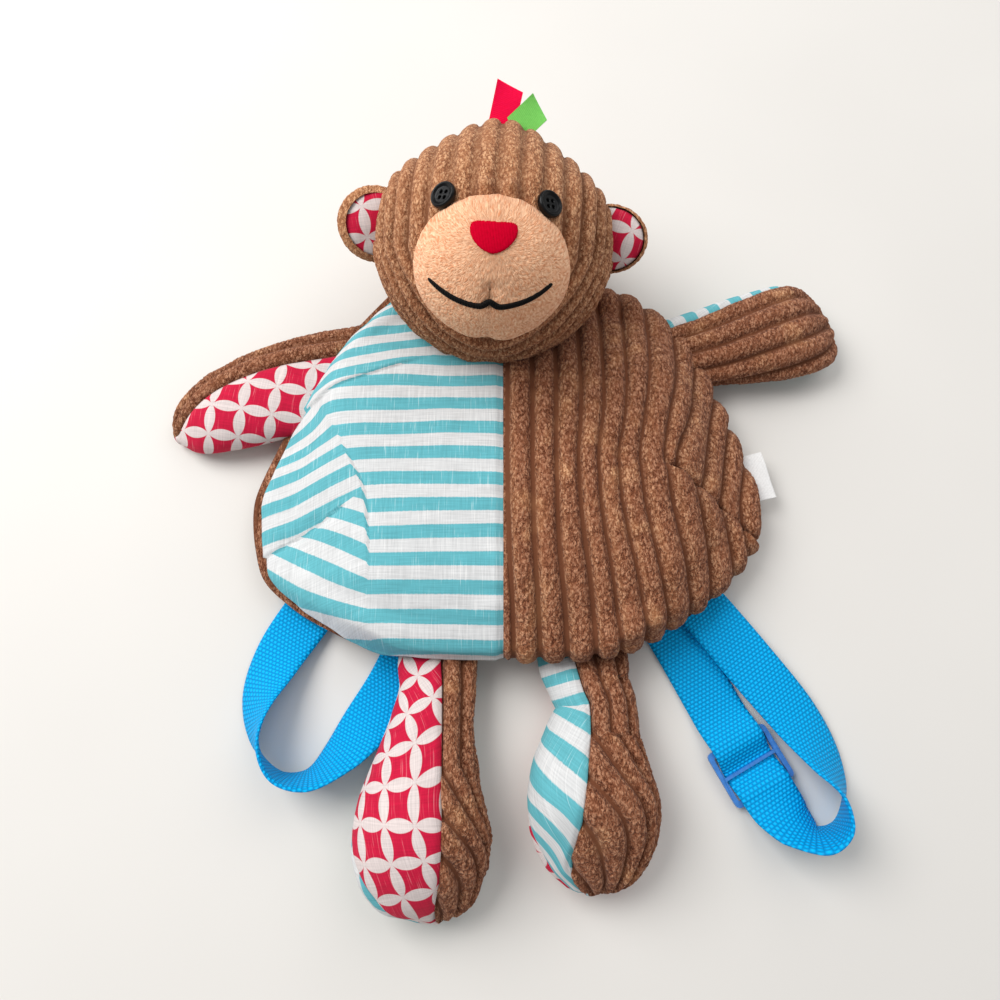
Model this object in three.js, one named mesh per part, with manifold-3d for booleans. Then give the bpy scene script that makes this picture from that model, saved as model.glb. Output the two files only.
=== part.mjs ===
// A plush animal backpack lying on its back, face up: a flat pouch with a striped half and a corduroy
// half, a stuffed head, two arms, two legs and a pair of webbing straps. Millimetres, +Z up, +Y to the head.
import * as THREE from "three";
import { mergeVertices } from "three/addons/utils/BufferGeometryUtils.js";
import Module from "manifold-3d";

const wasm = await Module();
wasm.setup();

// Sewing and cloth
const GAP = 0.3; // clearance between neighbouring pieces
const STRIPED_WALL = 2; // striped cotton on its backing
const CORDUROY_WALL = 2.4; // corduroy between two ribs
const BACK_WALL = 3; // corduroy back, the flattened pile included
const RIB_PITCH = 11; // one corduroy rib and its groove
const RIB_START = 2; // first groove beside the middle seam
const RIB_HEIGHT = 2.6;
const RIB_STEPS = 3; // facets across a rib

// Pouch
const POUCH_BOTTOM = -82;
const POUCH_TOP = 112;
const REST_LIFT = 2.7; // the back lies on the straps, this far above the ground
const EDGE_ROLL = 6; // the back curls up by this much at its edge
const ROLL_START = 0.82; // share of the outline where the curl begins
const REST_PATCH = { x: 17, y: -45, halfWidth: 24, halfLength: 16, fade: 0.35 }; // sags to the ground
const BACK_MARGIN_LEFT = 4; // the back shows this far beyond the striped half
const MOUTH = { halfWidth: 55, from: 56, to: 64 }; // slit across the upper back

// Sections of the pouch from the bottom edge to the neck: y, half widths of the seam line, rise of the front
// above the seam, and the share of each half width where the front breaks down to the side.
const POUCH_SECTIONS = columns(
  ["y", "left", "right", "rise", "breakLeft", "breakRight"],
  [
    [-82, 26, 30, 0, 0.8, 0.8],
    [-80, 50, 47, 9, 0.8, 0.8],
    [-76, 63, 66, 17, 0.78, 0.78],
    [-68, 78, 83, 24, 0.74, 0.76],
    [-58, 94, 97, 28, 0.7, 0.74],
    [-45, 109, 110, 31, 0.63, 0.7],
    [-30, 115, 119, 32, 0.57, 0.66],
    [-12, 118, 126, 33, 0.55, 0.62],
    [0, 117, 124, 33, 0.6, 0.64],
    [25, 108, 117, 32, 0.72, 0.7],
    [50, 98, 108, 30, 0.84, 0.74],
    [75, 85, 97, 23, 0.84, 0.76],
    [95, 70, 82, 13, 0.8, 0.78],
    [112, 56, 62, 0, 0.8, 0.8],
  ],
);
// Darts at the two sides: the tip, the end on the seam, and the depth of the pinch there.
const DARTS = [
  { tip: [-72, -11.5], edge: [-114, -33], depth: 4 },
  { tip: [74.5, 6], edge: [118, -24.5], depth: 6 },
];
const DART_WIDTH = 4;
const RIB_BEND = { from: 25, over: 90, shift: 18, length: 30 }; // ribs drawn in towards the right dart

// Head: a ball whose face looks up and towards the feet
const HEAD_CENTRE = [-4.2, 112.6, 55];
const HEAD_RADIUS = 56;
const HEAD_TILT = 36;
const HEAD_ROLL = -4.5;
const HEAD_RIB_PITCH = 10.6;
const HEAD_RIB_HEIGHT = 2;
const HEAD_SEGMENTS = 14;
const CROWN = { start: 22, over: 30, narrow: 0.34, drop: 1.8 }; // the head narrows towards its crown
const MUZZLE = { below: 13.5, out: 46, halfWidth: 33.5, halfHeight: 30.5, halfDepth: 30 };
const NOSE = { halfWidth: 9.7, top: 7.2, bottom: -3.6, thick: 1.3, above: 17, turn: 4 };
const MOUTH_LINE = { halfWidth: 25.6, drop: -7, rise: 8.2, stroke: 2.4, thick: 1.1, turn: 2.4 };
const EYE = {
  side: 23.5, above: 16.5, leanSide: 11, leanUp: 9,
  radius: 5.7, thick: 3.2, rim: 1.2, dish: 0.9, hole: 0.75, spacing: 1.25,
};
const EAR = { out: 17, thick: 5.5, inset: 1.5, lean: 18 };
const EAR_LEFT = { centre: [-57, 4, -1], high: 16.5 };
const EAR_RIGHT = { centre: [55, 6, -1], high: 15 };
const RIBBON = { width: 12.5, thick: 1.4 };
const RIBBON_RED = { at: -1, turn: -15, length: 18.5, back: 0.5 };
const RIBBON_GREEN = { at: 7, turn: -45, length: 14.5, back: -2.2 };

// Limbs: centre line, half width, half height and height of the centre for each section, root to tip,
// and the angle of the upper seam round the section.
const LIMB_COLUMNS = ["x", "y", "half", "thick", "z", "seam"];
const ARM_LEFT = columns(LIMB_COLUMNS, [
  [-74, 70, 23, 6, 11, 110],
  [-91, 63.5, 25, 9.5, 11.5, 112],
  [-108, 56.5, 25.5, 12, 12.5, 116],
  [-126, 49.5, 24.5, 12.5, 12.5, 118],
  [-142, 43, 21.5, 12, 12, 116],
  [-154, 38, 17.5, 10, 10, 108],
  [-162, 34.5, 12.5, 7.5, 7.5, 96],
  [-167, 32, 4, 3.5, 5, 84],
]);
const ARM_RIGHT = columns(LIMB_COLUMNS, [
  [78, 74, 18, 7, 12, 128],
  [94, 77, 20, 10.5, 13, 131],
  [110, 80, 22, 12, 14, 136],
  [126, 83.5, 24, 13, 14.5, 144],
  [142, 87, 25.5, 13, 14.5, 153],
  [155, 90.5, 25.5, 12, 13.5, 160],
  [163.5, 93.5, 22.5, 9.5, 11.5, 165],
  [168.5, 95.5, 16.5, 6.5, 9.5, 165],
  [171, 96.5, 8, 3.5, 8, 165],
]);
const LEG_LEFT = columns(LIMB_COLUMNS, [
  [-30, -83.2, 18.5, 7, 13.5, 84],
  [-30, -95, 17.5, 10.5, 13.5, 80],
  [-32, -110, 19, 14, 14.5, 72],
  [-34, -126, 22.5, 17.5, 17, 68],
  [-35.5, -145, 27.5, 20.5, 19.8, 67],
  [-34.5, -160, 29, 20.5, 19.8, 70],
  [-31.5, -173, 25.5, 17, 17.5, 76],
  [-29, -182, 18, 11, 15, 86],
  [-28, -187.5, 7, 4, 13, 90],
]);
const LEG_RIGHT = columns(LIMB_COLUMNS, [
  [36.5, -83.2, 20.5, 7, 13.5, 102],
  [39, -93, 18.5, 10.5, 13.5, 104],
  [42, -101, 17.5, 12.5, 13.5, 106],
  [40, -114, 21.5, 15.5, 15.5, 98],
  [38, -130, 26.5, 19.5, 18.8, 98],
  [38, -143, 28, 20.5, 19.8, 102],
  [38, -156, 26, 17.5, 18, 110],
  [37.5, -168, 20, 12.5, 15.5, 122],
  [37, -177, 8, 5, 13.5, 122],
]);
// The sole's seams climb the sides of the foot from this share of the leg to that, by so many degrees.
const SOLE_LEFT = { from: 0.5, to: 0.85, inner: 0, outer: 38 };
const SOLE_RIGHT = { from: 0.45, to: 0.9, inner: 25, outer: 26 };
const LIMB_RIB_HEIGHT = 1.7;
const PLAIN_STEPS = 7; // facets round a smooth panel
const LIMB_RINGS = 11;

// Straps: centre line, height and lean of the webbing from the sewn corner, round the loop, to the end
// under the back.
const WEBBING_WIDTH = 25;
const WEBBING_THICK = 1.8;
const STRAP_COLUMNS = ["x", "y", "z", "lean"];
const STRAP_LEFT = columns(STRAP_COLUMNS, [
  [-88, -51, 4, 0],
  [-95, -61, 4.5, 0],
  [-105.5, -79, 6, -14],
  [-112, -99, 9.5, -40],
  [-110, -118, 13, -70],
  [-100, -131, 13.4, -92],
  [-86, -132.5, 12.6, -112],
  [-72.5, -122, 9.6, -138],
  [-62, -108, 4.2, -164],
  [-53, -94, 1.5, -179],
  [-44, -75, 1.25, -180],
  [-30, -38, 1.25, -180],
  [-17, 40, 1.25, -180],
]);
const STRAP_RIGHT = columns(STRAP_COLUMNS, [
  [92, -51, 4.5, 0],
  [100, -61, 5, 0],
  [117, -83.6, 5.6, 0],
  [133, -105.2, 6.6, 12],
  [144, -124.5, 9.8, 38],
  [149, -139, 12.6, 66],
  [146.5, -151.5, 13.4, 88],
  [137, -156.6, 12.8, 112],
  [127.6, -151.5, 9.6, 146],
  [122, -144.5, 6.8, 172],
  [118.6, -138.9, 6, 180],
  [116.8, -135.6, 5.8, 180],
  [113.2, -129, 1.6, 180],
  [111.2, -125.2, 1.6, 180],
  [107.6, -118.6, 5.8, 180],
  [105.8, -115.3, 5.8, 180],
  [101.4, -107, 2.4, 180],
  [96, -96, 1.25, 180],
  [78, -62, 1.25, 180],
  [44, -10, 1.25, 180],
  [17, 40, 1.25, 180],
]);
const SLIDER = {
  x: 112.2, y: -127.1, z: 2.8, turn: 118.5, width: 31, length: 26, bar: 2.6, thick: 1.7, side: 2.2,
};
const LABEL = { y: 6, z: 10.2, width: 24, length: 12.5, thick: 0.9 };

const COLOURS = {
  corduroy: [0x8c6244, 0.95],
  muzzle: [0xcda57d, 0.95],
  nose: [0xc80a23, 0.8],
  black_thread: [0x1a1716, 0.6],
  button: [0x0c0c0e, 0.2],
  red_print: [0xd2193c, 0.85],
  striped: [0x9fd3d0, 0.85],
  ribbon_red: [0xeb143c, 0.7],
  ribbon_green: [0x73be5a, 0.7],
  webbing: [0x1487cd, 0.6],
  slider: [0x4b82d7, 0.4],
  label: [0xf2f0ee, 0.8],
};

function columns(names, rows) {
  return rows.map((row) => Object.fromEntries(names.map((name, i) => [name, row[i]])));
}

// The value of a table's column at a position along another column, on a smooth curve through the rows.
function along(table, key, name, at) {
  const last = table.length - 1;
  const t = THREE.MathUtils.clamp(at, table[0][key], table[last][key]);
  let i = 0;
  while (i < last - 1 && t > table[i + 1][key]) i += 1;
  const row = (k) => table[THREE.MathUtils.clamp(k, 0, last)];
  const slope = (k) => {
    const span = row(k + 1)[key] - row(k - 1)[key];
    return (row(k + 1)[name] - row(k - 1)[name]) / span;
  };
  const span = row(i + 1)[key] - row(i)[key];
  const s = (t - row(i)[key]) / span;
  const [s2, s3] = [s * s, s * s * s];
  return (
    (2 * s3 - 3 * s2 + 1) * row(i)[name] +
    (s3 - 2 * s2 + s) * span * slope(i) +
    (3 * s2 - 2 * s3) * row(i + 1)[name] +
    (s3 - s2) * span * slope(i + 1)
  );
}

function steps(from, to, count) {
  return Array.from({ length: count + 1 }, (_, i) => from + ((to - from) * i) / count);
}

// A closed solid of triangles as a body that can be joined and cut.
function body(geometry) {
  const bare = geometry.index ? geometry.toNonIndexed() : geometry.clone();
  bare.deleteAttribute("normal");
  bare.deleteAttribute("uv");
  const merged = mergeVertices(bare, 1e-4);
  const make = (triVerts) => new wasm.Manifold(
    new wasm.Mesh({ numProp: 3, vertProperties: merged.attributes.position.array, triVerts }),
  );
  const faces = Uint32Array.from(merged.index.array);
  const made = make(faces);
  if (made.volume() > 0) return made;
  return make(faces.map((_, i) => faces[i - (i % 3) + [0, 2, 1][i % 3]]));
}

function geometryOf(solid) {
  const mesh = solid.getMesh();
  const geometry = new THREE.BufferGeometry();
  geometry.setAttribute("position", new THREE.BufferAttribute(Float32Array.from(mesh.vertProperties), 3));
  geometry.setIndex(new THREE.BufferAttribute(Uint32Array.from(mesh.triVerts), 1));
  geometry.computeVertexNormals();
  return geometry;
}

function fromGrid(vertices, faces) {
  const geometry = new THREE.BufferGeometry();
  geometry.setAttribute("position", new THREE.Float32BufferAttribute(vertices.flat(), 3));
  geometry.setIndex(faces.flat());
  return body(geometry);
}

// The solid under a height field whose grid lines may be bent in x, down to a level floor.
function under(across, lengthwise, height, floor, bent = (x) => x) {
  const n = lengthwise.length;
  const vertices = [];
  for (const level of ["top", "floor"]) {
    for (const c of across) {
      for (const y of lengthwise) {
        const x = bent(c, y);
        vertices.push([x, y, level === "top" ? height(x, y, c) : floor]);
      }
    }
  }
  const at = (i, j, lower) => i * n + j + lower * across.length * n;
  const faces = [];
  const quad = (a, b, c, d) => faces.push([a, b, c], [a, c, d]);
  for (let i = 0; i + 1 < across.length; i += 1) {
    for (let j = 0; j + 1 < n; j += 1) {
      quad(at(i, j, 0), at(i + 1, j, 0), at(i + 1, j + 1, 0), at(i, j + 1, 0));
      quad(at(i, j, 1), at(i, j + 1, 1), at(i + 1, j + 1, 1), at(i + 1, j, 1));
    }
    quad(at(i, 0, 0), at(i, 0, 1), at(i + 1, 0, 1), at(i + 1, 0, 0));
    quad(at(i, n - 1, 0), at(i + 1, n - 1, 0), at(i + 1, n - 1, 1), at(i, n - 1, 1));
  }
  const end = across.length - 1;
  for (let j = 0; j + 1 < n; j += 1) {
    quad(at(0, j, 0), at(0, j + 1, 0), at(0, j + 1, 1), at(0, j, 1));
    quad(at(end, j, 0), at(end, j, 1), at(end, j + 1, 1), at(end, j + 1, 0));
  }
  return fromGrid(vertices, faces);
}

// A solid from rings of equally many points, closed by a fan at each end. The two faces at a ring's first
// point are split along matching diagonals, so that neighbouring panels keep an even gap.
function loft(rings) {
  const n = rings[0].length;
  const vertices = rings.flat().map((p) => [p.x, p.y, p.z]);
  const faces = [];
  for (let i = 0; i + 1 < rings.length; i += 1) {
    for (let k = 0; k < n; k += 1) {
      const next = (k + 1) % n;
      const [a, b, c, d] = [i * n + k, i * n + next, (i + 1) * n + next, (i + 1) * n + k];
      faces.push(...(next ? [[a, b, c], [a, c, d]] : [[a, b, d], [b, c, d]]));
    }
  }
  for (const [start, flip] of [[0, true], [(rings.length - 1) * n, false]]) {
    for (let k = 1; k + 1 < n; k += 1) {
      faces.push(flip ? [start, start + k + 1, start + k] : [start, start + k, start + k + 1]);
    }
  }
  return fromGrid(vertices, faces);
}

function prism(points, from, to) {
  const shape = new THREE.Shape(points.map(([x, y]) => new THREE.Vector2(x, y)));
  const geometry = new THREE.ExtrudeGeometry(shape, { depth: to - from, bevelEnabled: false });
  return body(geometry.translate(0, 0, from));
}

function block(from, to) {
  const geometry = new THREE.BoxGeometry(...to.map((v, i) => v - from[i]));
  return body(geometry.translate(...to.map((v, i) => (v + from[i]) / 2)));
}

// The pouch's outline with a margin at each side, and its seam line, which every height is measured from.
function outline(left, right, ends) {
  const at = steps(POUCH_BOTTOM, POUCH_TOP, 36);
  const y = (v) => v + (v === POUCH_BOTTOM ? -ends : 0) + (v === POUCH_TOP ? ends : 0);
  const rightEdge = at.map((v) => [along(POUCH_SECTIONS, "y", "right", v) + right, y(v)]);
  const leftEdge = at.map((v) => [-along(POUCH_SECTIONS, "y", "left", v) - left, y(v)]);
  return rightEdge.concat(leftEdge.reverse());
}

function share(x, y) {
  return Math.abs(x) / along(POUCH_SECTIONS, "y", x < 0 ? "left" : "right", y);
}

// The back's outer face, with or without the patch that sags to the ground.
function backOuter(x, y, patch = true) {
  const half = (POUCH_TOP - POUCH_BOTTOM) / 2;
  const lengthwise = Math.abs(y - POUCH_BOTTOM - half) / half;
  const edge = Math.pow(share(x, y) ** 4 + lengthwise ** 4, 0.25);
  const roll = THREE.MathUtils.smoothstep(edge, ROLL_START, 1);
  const off = Math.hypot(
    (x - REST_PATCH.x) / REST_PATCH.halfWidth,
    (y - REST_PATCH.y) / REST_PATCH.halfLength,
  );
  const lift = REST_LIFT * (patch ? THREE.MathUtils.smoothstep(off, 1, 1 + REST_PATCH.fade) : 1);
  return lift + EDGE_ROLL * roll;
}

function backInner(x, y) {
  return backOuter(x, y) + BACK_WALL;
}

function dartPinch(x, y) {
  let pinch = 0;
  for (const { tip, edge, depth } of DARTS) {
    const [ex, ey] = [edge[0] - tip[0], edge[1] - tip[1]];
    const t = THREE.MathUtils.clamp(((x - tip[0]) * ex + (y - tip[1]) * ey) / (ex * ex + ey * ey), 0, 1);
    const off = Math.hypot(x - tip[0] - t * ex, y - tip[1] - t * ey) / DART_WIDTH;
    pinch += depth * Math.min(1, 3 * t) * (1 - 0.5 * t) * Math.exp(-off * off);
  }
  return pinch;
}

// The front's inner face: flat over the middle, then sloping down to the seam.
function frontInner(x, y) {
  const from = along(POUCH_SECTIONS, "y", x < 0 ? "breakLeft" : "breakRight", y);
  const slope = (1 - Math.min(1, share(x, y))) / (1 - from);
  const soft = 0.14;
  const rise = -soft * Math.log(Math.exp(-1 / soft) + Math.exp(-slope / soft));
  const height = along(POUCH_SECTIONS, "y", "rise", y) * Math.max(0, rise);
  const seam = backOuter(x, y, false) + BACK_WALL + GAP;
  return seam + Math.max(0, height - dartPinch(x, y) * Math.min(1, height / 8));
}

// A wall's thickness measured upright, so that steep cloth keeps its thickness.
function upright(x, y, wall) {
  const d = 1;
  const dx = (frontInner(x + d, y) - frontInner(x - d, y)) / (2 * d);
  const dy = (frontInner(x, y + d) - frontInner(x, y - d)) / (2 * d);
  return wall * Math.min(2.4, Math.hypot(1, dx, dy));
}

function rib(across, pitch, height) {
  const f = across / pitch - Math.floor(across / pitch);
  return height * Math.sqrt(Math.max(0, 1 - (2 * f - 1) ** 2));
}

function bentRib(c, y) {
  const dart = DARTS[1];
  const slope = (dart.edge[1] - dart.tip[1]) / (dart.edge[0] - dart.tip[0]);
  const middle = dart.tip[1] + slope * Math.max(0, c - dart.tip[0]);
  const pull = Math.max(0, (c - RIB_BEND.from) / RIB_BEND.over);
  return c - RIB_BEND.shift * pull * Math.exp(-(((y - middle) / RIB_BEND.length) ** 2));
}

function headFrame() {
  const turn = new THREE.Euler(THREE.MathUtils.degToRad(HEAD_TILT), 0, 0);
  const frame = new THREE.Matrix4().makeRotationFromEuler(turn);
  frame.multiply(new THREE.Matrix4().makeRotationZ(THREE.MathUtils.degToRad(HEAD_ROLL)));
  return frame.setPosition(...HEAD_CENTRE);
}

function ball(radius) {
  return body(new THREE.SphereGeometry(radius, 36, 24).translate(...HEAD_CENTRE));
}

// A form about the head's centre, drawn in towards the crown.
function crowned(geometry) {
  const position = geometry.attributes.position;
  for (let i = 0; i < position.count; i += 1) {
    const [x, y, z] = [position.getX(i), position.getY(i), position.getZ(i)];
    const t = THREE.MathUtils.clamp((y - CROWN.start) / CROWN.over, 0, 1.2);
    const narrow = CROWN.narrow * t ** 1.4;
    position.setXYZ(i, x * (1 - narrow), y - CROWN.drop * t ** 2, z * (1 - 0.4 * narrow));
  }
  return geometry;
}

// A ball turned about the axis through the ears, with ribs running over the crown, grown by a margin.
function ribbedHead(grow) {
  const count = Math.round((Math.PI * HEAD_RADIUS) / HEAD_RIB_PITCH);
  const profile = steps(-90, 90, count * RIB_STEPS).map((degrees, i) => {
    const a = THREE.MathUtils.degToRad(degrees);
    const ends = i === 0 || i === count * RIB_STEPS;
    const r = HEAD_RADIUS + grow - HEAD_RIB_HEIGHT + rib(i / RIB_STEPS, 1, HEAD_RIB_HEIGHT);
    return new THREE.Vector2(ends ? 0 : r * Math.cos(a), r * Math.sin(a));
  });
  const geometry = crowned(new THREE.LatheGeometry(profile, HEAD_SEGMENTS).rotateZ(-Math.PI / 2));
  return body(geometry.applyMatrix4(headFrame()));
}

function muzzleFrame() {
  const down = new THREE.Matrix4().makeRotationX(THREE.MathUtils.degToRad(MUZZLE.below));
  const out = new THREE.Matrix4().makeTranslation(0, 0, MUZZLE.out);
  return headFrame().multiply(down).multiply(out);
}

// The muzzle's ellipsoid grown by a margin, with a crease from the mouth to the chin.
function muzzleForm(grow) {
  const geometry = new THREE.SphereGeometry(1, 18, 11).rotateX(Math.PI / 2);
  geometry.scale(MUZZLE.halfWidth + grow, MUZZLE.halfHeight + grow, MUZZLE.halfDepth + grow);
  const position = geometry.attributes.position;
  for (let i = 0; i < position.count; i += 1) {
    const [x, y, z] = [position.getX(i), position.getY(i), position.getZ(i)];
    const low = THREE.MathUtils.smoothstep(-y, MOUTH_LINE.rise - 4, MUZZLE.halfHeight);
    const crease = 1 - 0.07 * low * Math.exp(-((x / 5) ** 2));
    position.setXYZ(i, x, y * crease, z * crease);
  }
  return body(geometry.applyMatrix4(muzzleFrame()));
}

// A patch of a given outline lying on the muzzle, turned a little about a point of its middle line.
function onMuzzle(points, { thick, turn, above = 0 }) {
  const angle = THREE.MathUtils.degToRad(turn);
  const [c, s] = [Math.cos(angle), Math.sin(angle)];
  const turned = points.map(([x, y]) => [c * x - s * (y - above), s * x + c * (y - above) + above]);
  const column = prism(turned, 0, MUZZLE.halfDepth + 12).transform(muzzleFrame().elements);
  return column.intersect(muzzleForm(GAP + thick)).subtract(muzzleForm(GAP));
}

function noseOutline() {
  const { halfWidth: w, top, bottom, above } = NOSE;
  const shape = new THREE.Shape();
  const tip = w * 0.15;
  shape.moveTo(tip, bottom + above);
  shape.bezierCurveTo(w * 0.5, bottom + above, w, above + top * 0.1, w, above + top * 0.62);
  shape.bezierCurveTo(w, above + top, w * 0.7, above + top, tip, above + top * 0.96);
  shape.lineTo(-tip, above + top * 0.96);
  shape.bezierCurveTo(-w * 0.7, above + top, -w, above + top, -w, above + top * 0.62);
  shape.bezierCurveTo(-w, above + top * 0.1, -w * 0.5, bottom + above, -tip, bottom + above);
  return shape.getPoints(4).map((p) => [p.x, p.y]);
}

// The mouth: a shallow line with a small peak in the middle and its corners turned up.
function mouthOutline() {
  const { halfWidth, drop, rise, stroke } = MOUTH_LINE;
  const line = steps(-1, 1, 14).map((t) => {
    const peak = 2.2 * Math.exp(-((t / 0.09) ** 2));
    return [t * halfWidth, drop + rise * t ** 2 + peak];
  });
  const half = (t) => (stroke / 2) * (1 - 0.45 * t ** 4);
  const lower = line.map(([x, y]) => [x, y - half(x / halfWidth)]);
  const upper = line.map(([x, y]) => [x, y + half(x / halfWidth)]);
  return lower.concat(upper.reverse());
}

function button(side) {
  const { radius, thick, rim, dish, hole, spacing } = EYE;
  const profile = [
    [0, 0], [radius - 0.8, 0], [radius, 0.9], [radius, thick - 0.7], [radius - 0.5, thick],
    [radius - rim, thick], [radius - rim - 0.5, thick - dish], [0, thick - dish],
  ].map(([r, z]) => new THREE.Vector2(r, z));
  let disc = body(new THREE.LatheGeometry(profile, 12).rotateX(Math.PI / 2));
  for (const [i, j] of [[1, 1], [1, -1], [-1, 1], [-1, -1]]) {
    const drill = new THREE.CylinderGeometry(hole, hole, 3 * thick, 5).rotateX(Math.PI / 2);
    disc = disc.subtract(body(drill.translate(i * spacing, j * spacing, 0)));
  }
  const frame = headFrame();
  frame.multiply(new THREE.Matrix4().makeRotationY(THREE.MathUtils.degToRad(side * EYE.side)));
  frame.multiply(new THREE.Matrix4().makeRotationX(THREE.MathUtils.degToRad(-EYE.above)));
  frame.multiply(new THREE.Matrix4().makeTranslation(0, 0, HEAD_RADIUS + GAP));
  frame.multiply(new THREE.Matrix4().makeRotationY(THREE.MathUtils.degToRad(side * EYE.leanSide)));
  frame.multiply(new THREE.Matrix4().makeRotationX(THREE.MathUtils.degToRad(-EYE.leanUp)));
  return disc.transform(frame.elements).subtract(ball(HEAD_RADIUS + GAP)).subtract(muzzleForm(GAP));
}

// One face of an ear: the printed front or the corduroy back of a flattened bean.
function ear({ centre, high }, front) {
  const trim = front ? EAR.inset : 0;
  const geometry = new THREE.SphereGeometry(1, 14, 8);
  geometry.scale(EAR.out - trim, high - trim, EAR.thick);
  const half = front
    ? block([-90, -90, GAP / 2], [90, 90, 90])
    : block([-90, -90, -90], [90, 90, -GAP / 2]);
  const frame = headFrame();
  const lean = -Math.sign(centre[0]) * EAR.lean;
  frame.multiply(new THREE.Matrix4().makeTranslation(...centre));
  frame.multiply(new THREE.Matrix4().makeRotationY(THREE.MathUtils.degToRad(lean)));
  return body(geometry).intersect(half).transform(frame.elements).subtract(ball(HEAD_RADIUS + 2 * GAP));
}

function ribbon({ at, turn, length, back }) {
  const geometry = new THREE.BoxGeometry(RIBBON.width, length, RIBBON.thick).translate(0, length / 2, 0);
  const frame = headFrame();
  const spot = new THREE.Matrix4().makeRotationZ(THREE.MathUtils.degToRad(-at));
  frame.multiply(spot).multiply(new THREE.Matrix4().makeTranslation(0, HEAD_RADIUS - 4 - CROWN.drop, -back));
  frame.multiply(new THREE.Matrix4().makeRotationZ(THREE.MathUtils.degToRad(turn + at)));
  return body(geometry.applyMatrix4(frame)).subtract(ribbedHead(1.5 * GAP));
}

// One cloth panel of a stuffed limb: the sector of each section between two angles, cut to a point at
// the centre. The angles count from the limb's right-hand edge, seen from its root, over the top.
function limbPanel(table, from, to, ribs) {
  const curve = new THREE.CatmullRomCurve3(table.map((row) => new THREE.Vector3(row.x, row.y, row.z)));
  const arc = table.map((row, i) => ({ ...row, at: i }));
  const rings = steps(0, table.length - 1, LIMB_RINGS).map((at) => {
    const value = (name) => along(arc, "at", name, at);
    const share = at / (table.length - 1);
    const ahead = curve.getTangent(share).setZ(0).normalize();
    const side = new THREE.Vector3(ahead.y, -ahead.x, 0);
    const [start, end] = [from, to].map((seam) => THREE.MathUtils.degToRad(seam(value("seam"), share)));
    const middle = (start + end) / 2;
    const centre = new THREE.Vector3(value("x"), value("y"), value("z"));
    const inset = GAP / Math.max(0.5, Math.sin((end - start) / 2));
    const place = (r, a) => {
      const out = r * value("half") * Math.cos(a) + inset * Math.cos(middle);
      const up = r * value("thick") * Math.sin(a) + inset * Math.sin(middle);
      const p = centre.clone().addScaledVector(side, out);
      return p.setZ(Math.max(0, p.z + up));
    };
    const count = ribs ? ribs * RIB_STEPS : PLAIN_STEPS;
    const arcs = steps(start, end, count).map((a, k) => {
      const groove = ribs ? LIMB_RIB_HEIGHT - rib(k / RIB_STEPS, 1, LIMB_RIB_HEIGHT) : 0;
      return place(1 - groove / Math.max(value("half"), 12), a);
    });
    return [place(0, 0), ...arcs];
  });
  return loft(rings);
}

// Webbing: a flat section carried along the strap's table, leaning as the table says.
function strap(table, count) {
  const points = table.map((row) => new THREE.Vector3(row.x, row.y, row.z));
  const curve = new THREE.CatmullRomCurve3(points, false, "centripetal");
  const arc = table.map((row, i) => ({ ...row, at: i / (table.length - 1) }));
  const rings = steps(0, 1, count).map((t) => {
    const ahead = curve.getTangent(t);
    const level = new THREE.Vector3(ahead.y, -ahead.x, 0).normalize();
    const lean = THREE.MathUtils.degToRad(along(arc, "at", "lean", t));
    const width = level.applyAxisAngle(ahead, -lean).multiplyScalar(WEBBING_WIDTH / 2);
    const face = new THREE.Vector3().crossVectors(ahead, width).setLength(WEBBING_THICK / 2);
    const centre = curve.getPoint(t);
    return [[-1, -1], [1, -1], [1, 1], [-1, 1]].map(([w, f]) =>
      centre.clone().addScaledVector(width, w).addScaledVector(face, f));
  });
  return loft(rings);
}

function slider() {
  const { width, length, bar, side, thick } = SLIDER;
  const plate = new THREE.Shape();
  const round = (path, w, l, y, r) => {
    path.moveTo(-w + r, y - l);
    path.lineTo(w - r, y - l).quadraticCurveTo(w, y - l, w, y - l + r);
    path.lineTo(w, y + l - r).quadraticCurveTo(w, y + l, w - r, y + l);
    path.lineTo(-w + r, y + l).quadraticCurveTo(-w, y + l, -w, y + l - r);
    path.lineTo(-w, y - l + r).quadraticCurveTo(-w, y - l, -w + r, y - l);
  };
  round(plate, width / 2, length / 2, 0, 2.5);
  const slot = (length - 3 * bar) / 4;
  for (const sign of [-1, 1]) {
    const hole = new THREE.Path();
    round(hole, width / 2 - side, slot, sign * (bar / 2 + slot), 1);
    plate.holes.push(hole);
  }
  const geometry = new THREE.ExtrudeGeometry(plate, { depth: thick, bevelEnabled: false, curveSegments: 3 });
  geometry.rotateZ(THREE.MathUtils.degToRad(SLIDER.turn - 90)).translate(SLIDER.x, SLIDER.y, SLIDER.z);
  return body(geometry);
}

// Pouch
const rows = POUCH_SECTIONS.map((row) => row.y);
const between = rows.slice(1).map((y, i) => (y + rows[i]) / 2).filter((y, i) => rows[i + 1] - rows[i] > 12);
const lengthwise = [POUCH_BOTTOM - 1, ...rows, ...between, POUCH_TOP + 1].sort((a, b) => a - b);
const neck = ball(HEAD_RADIUS + 2 * GAP);
const inside = under(steps(-135, 135, 18), [POUCH_BOTTOM - 2, ...rows, POUCH_TOP + 2], frontInner, -20);
const frontOutline = prism(outline(0, 0, 0), -10, 80);

function front(solid, from, to) {
  const half = block([from, -100, -20], [to, 130, 90]);
  return solid.subtract(inside).intersect(frontOutline).intersect(half).subtract(neck);
}

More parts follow.
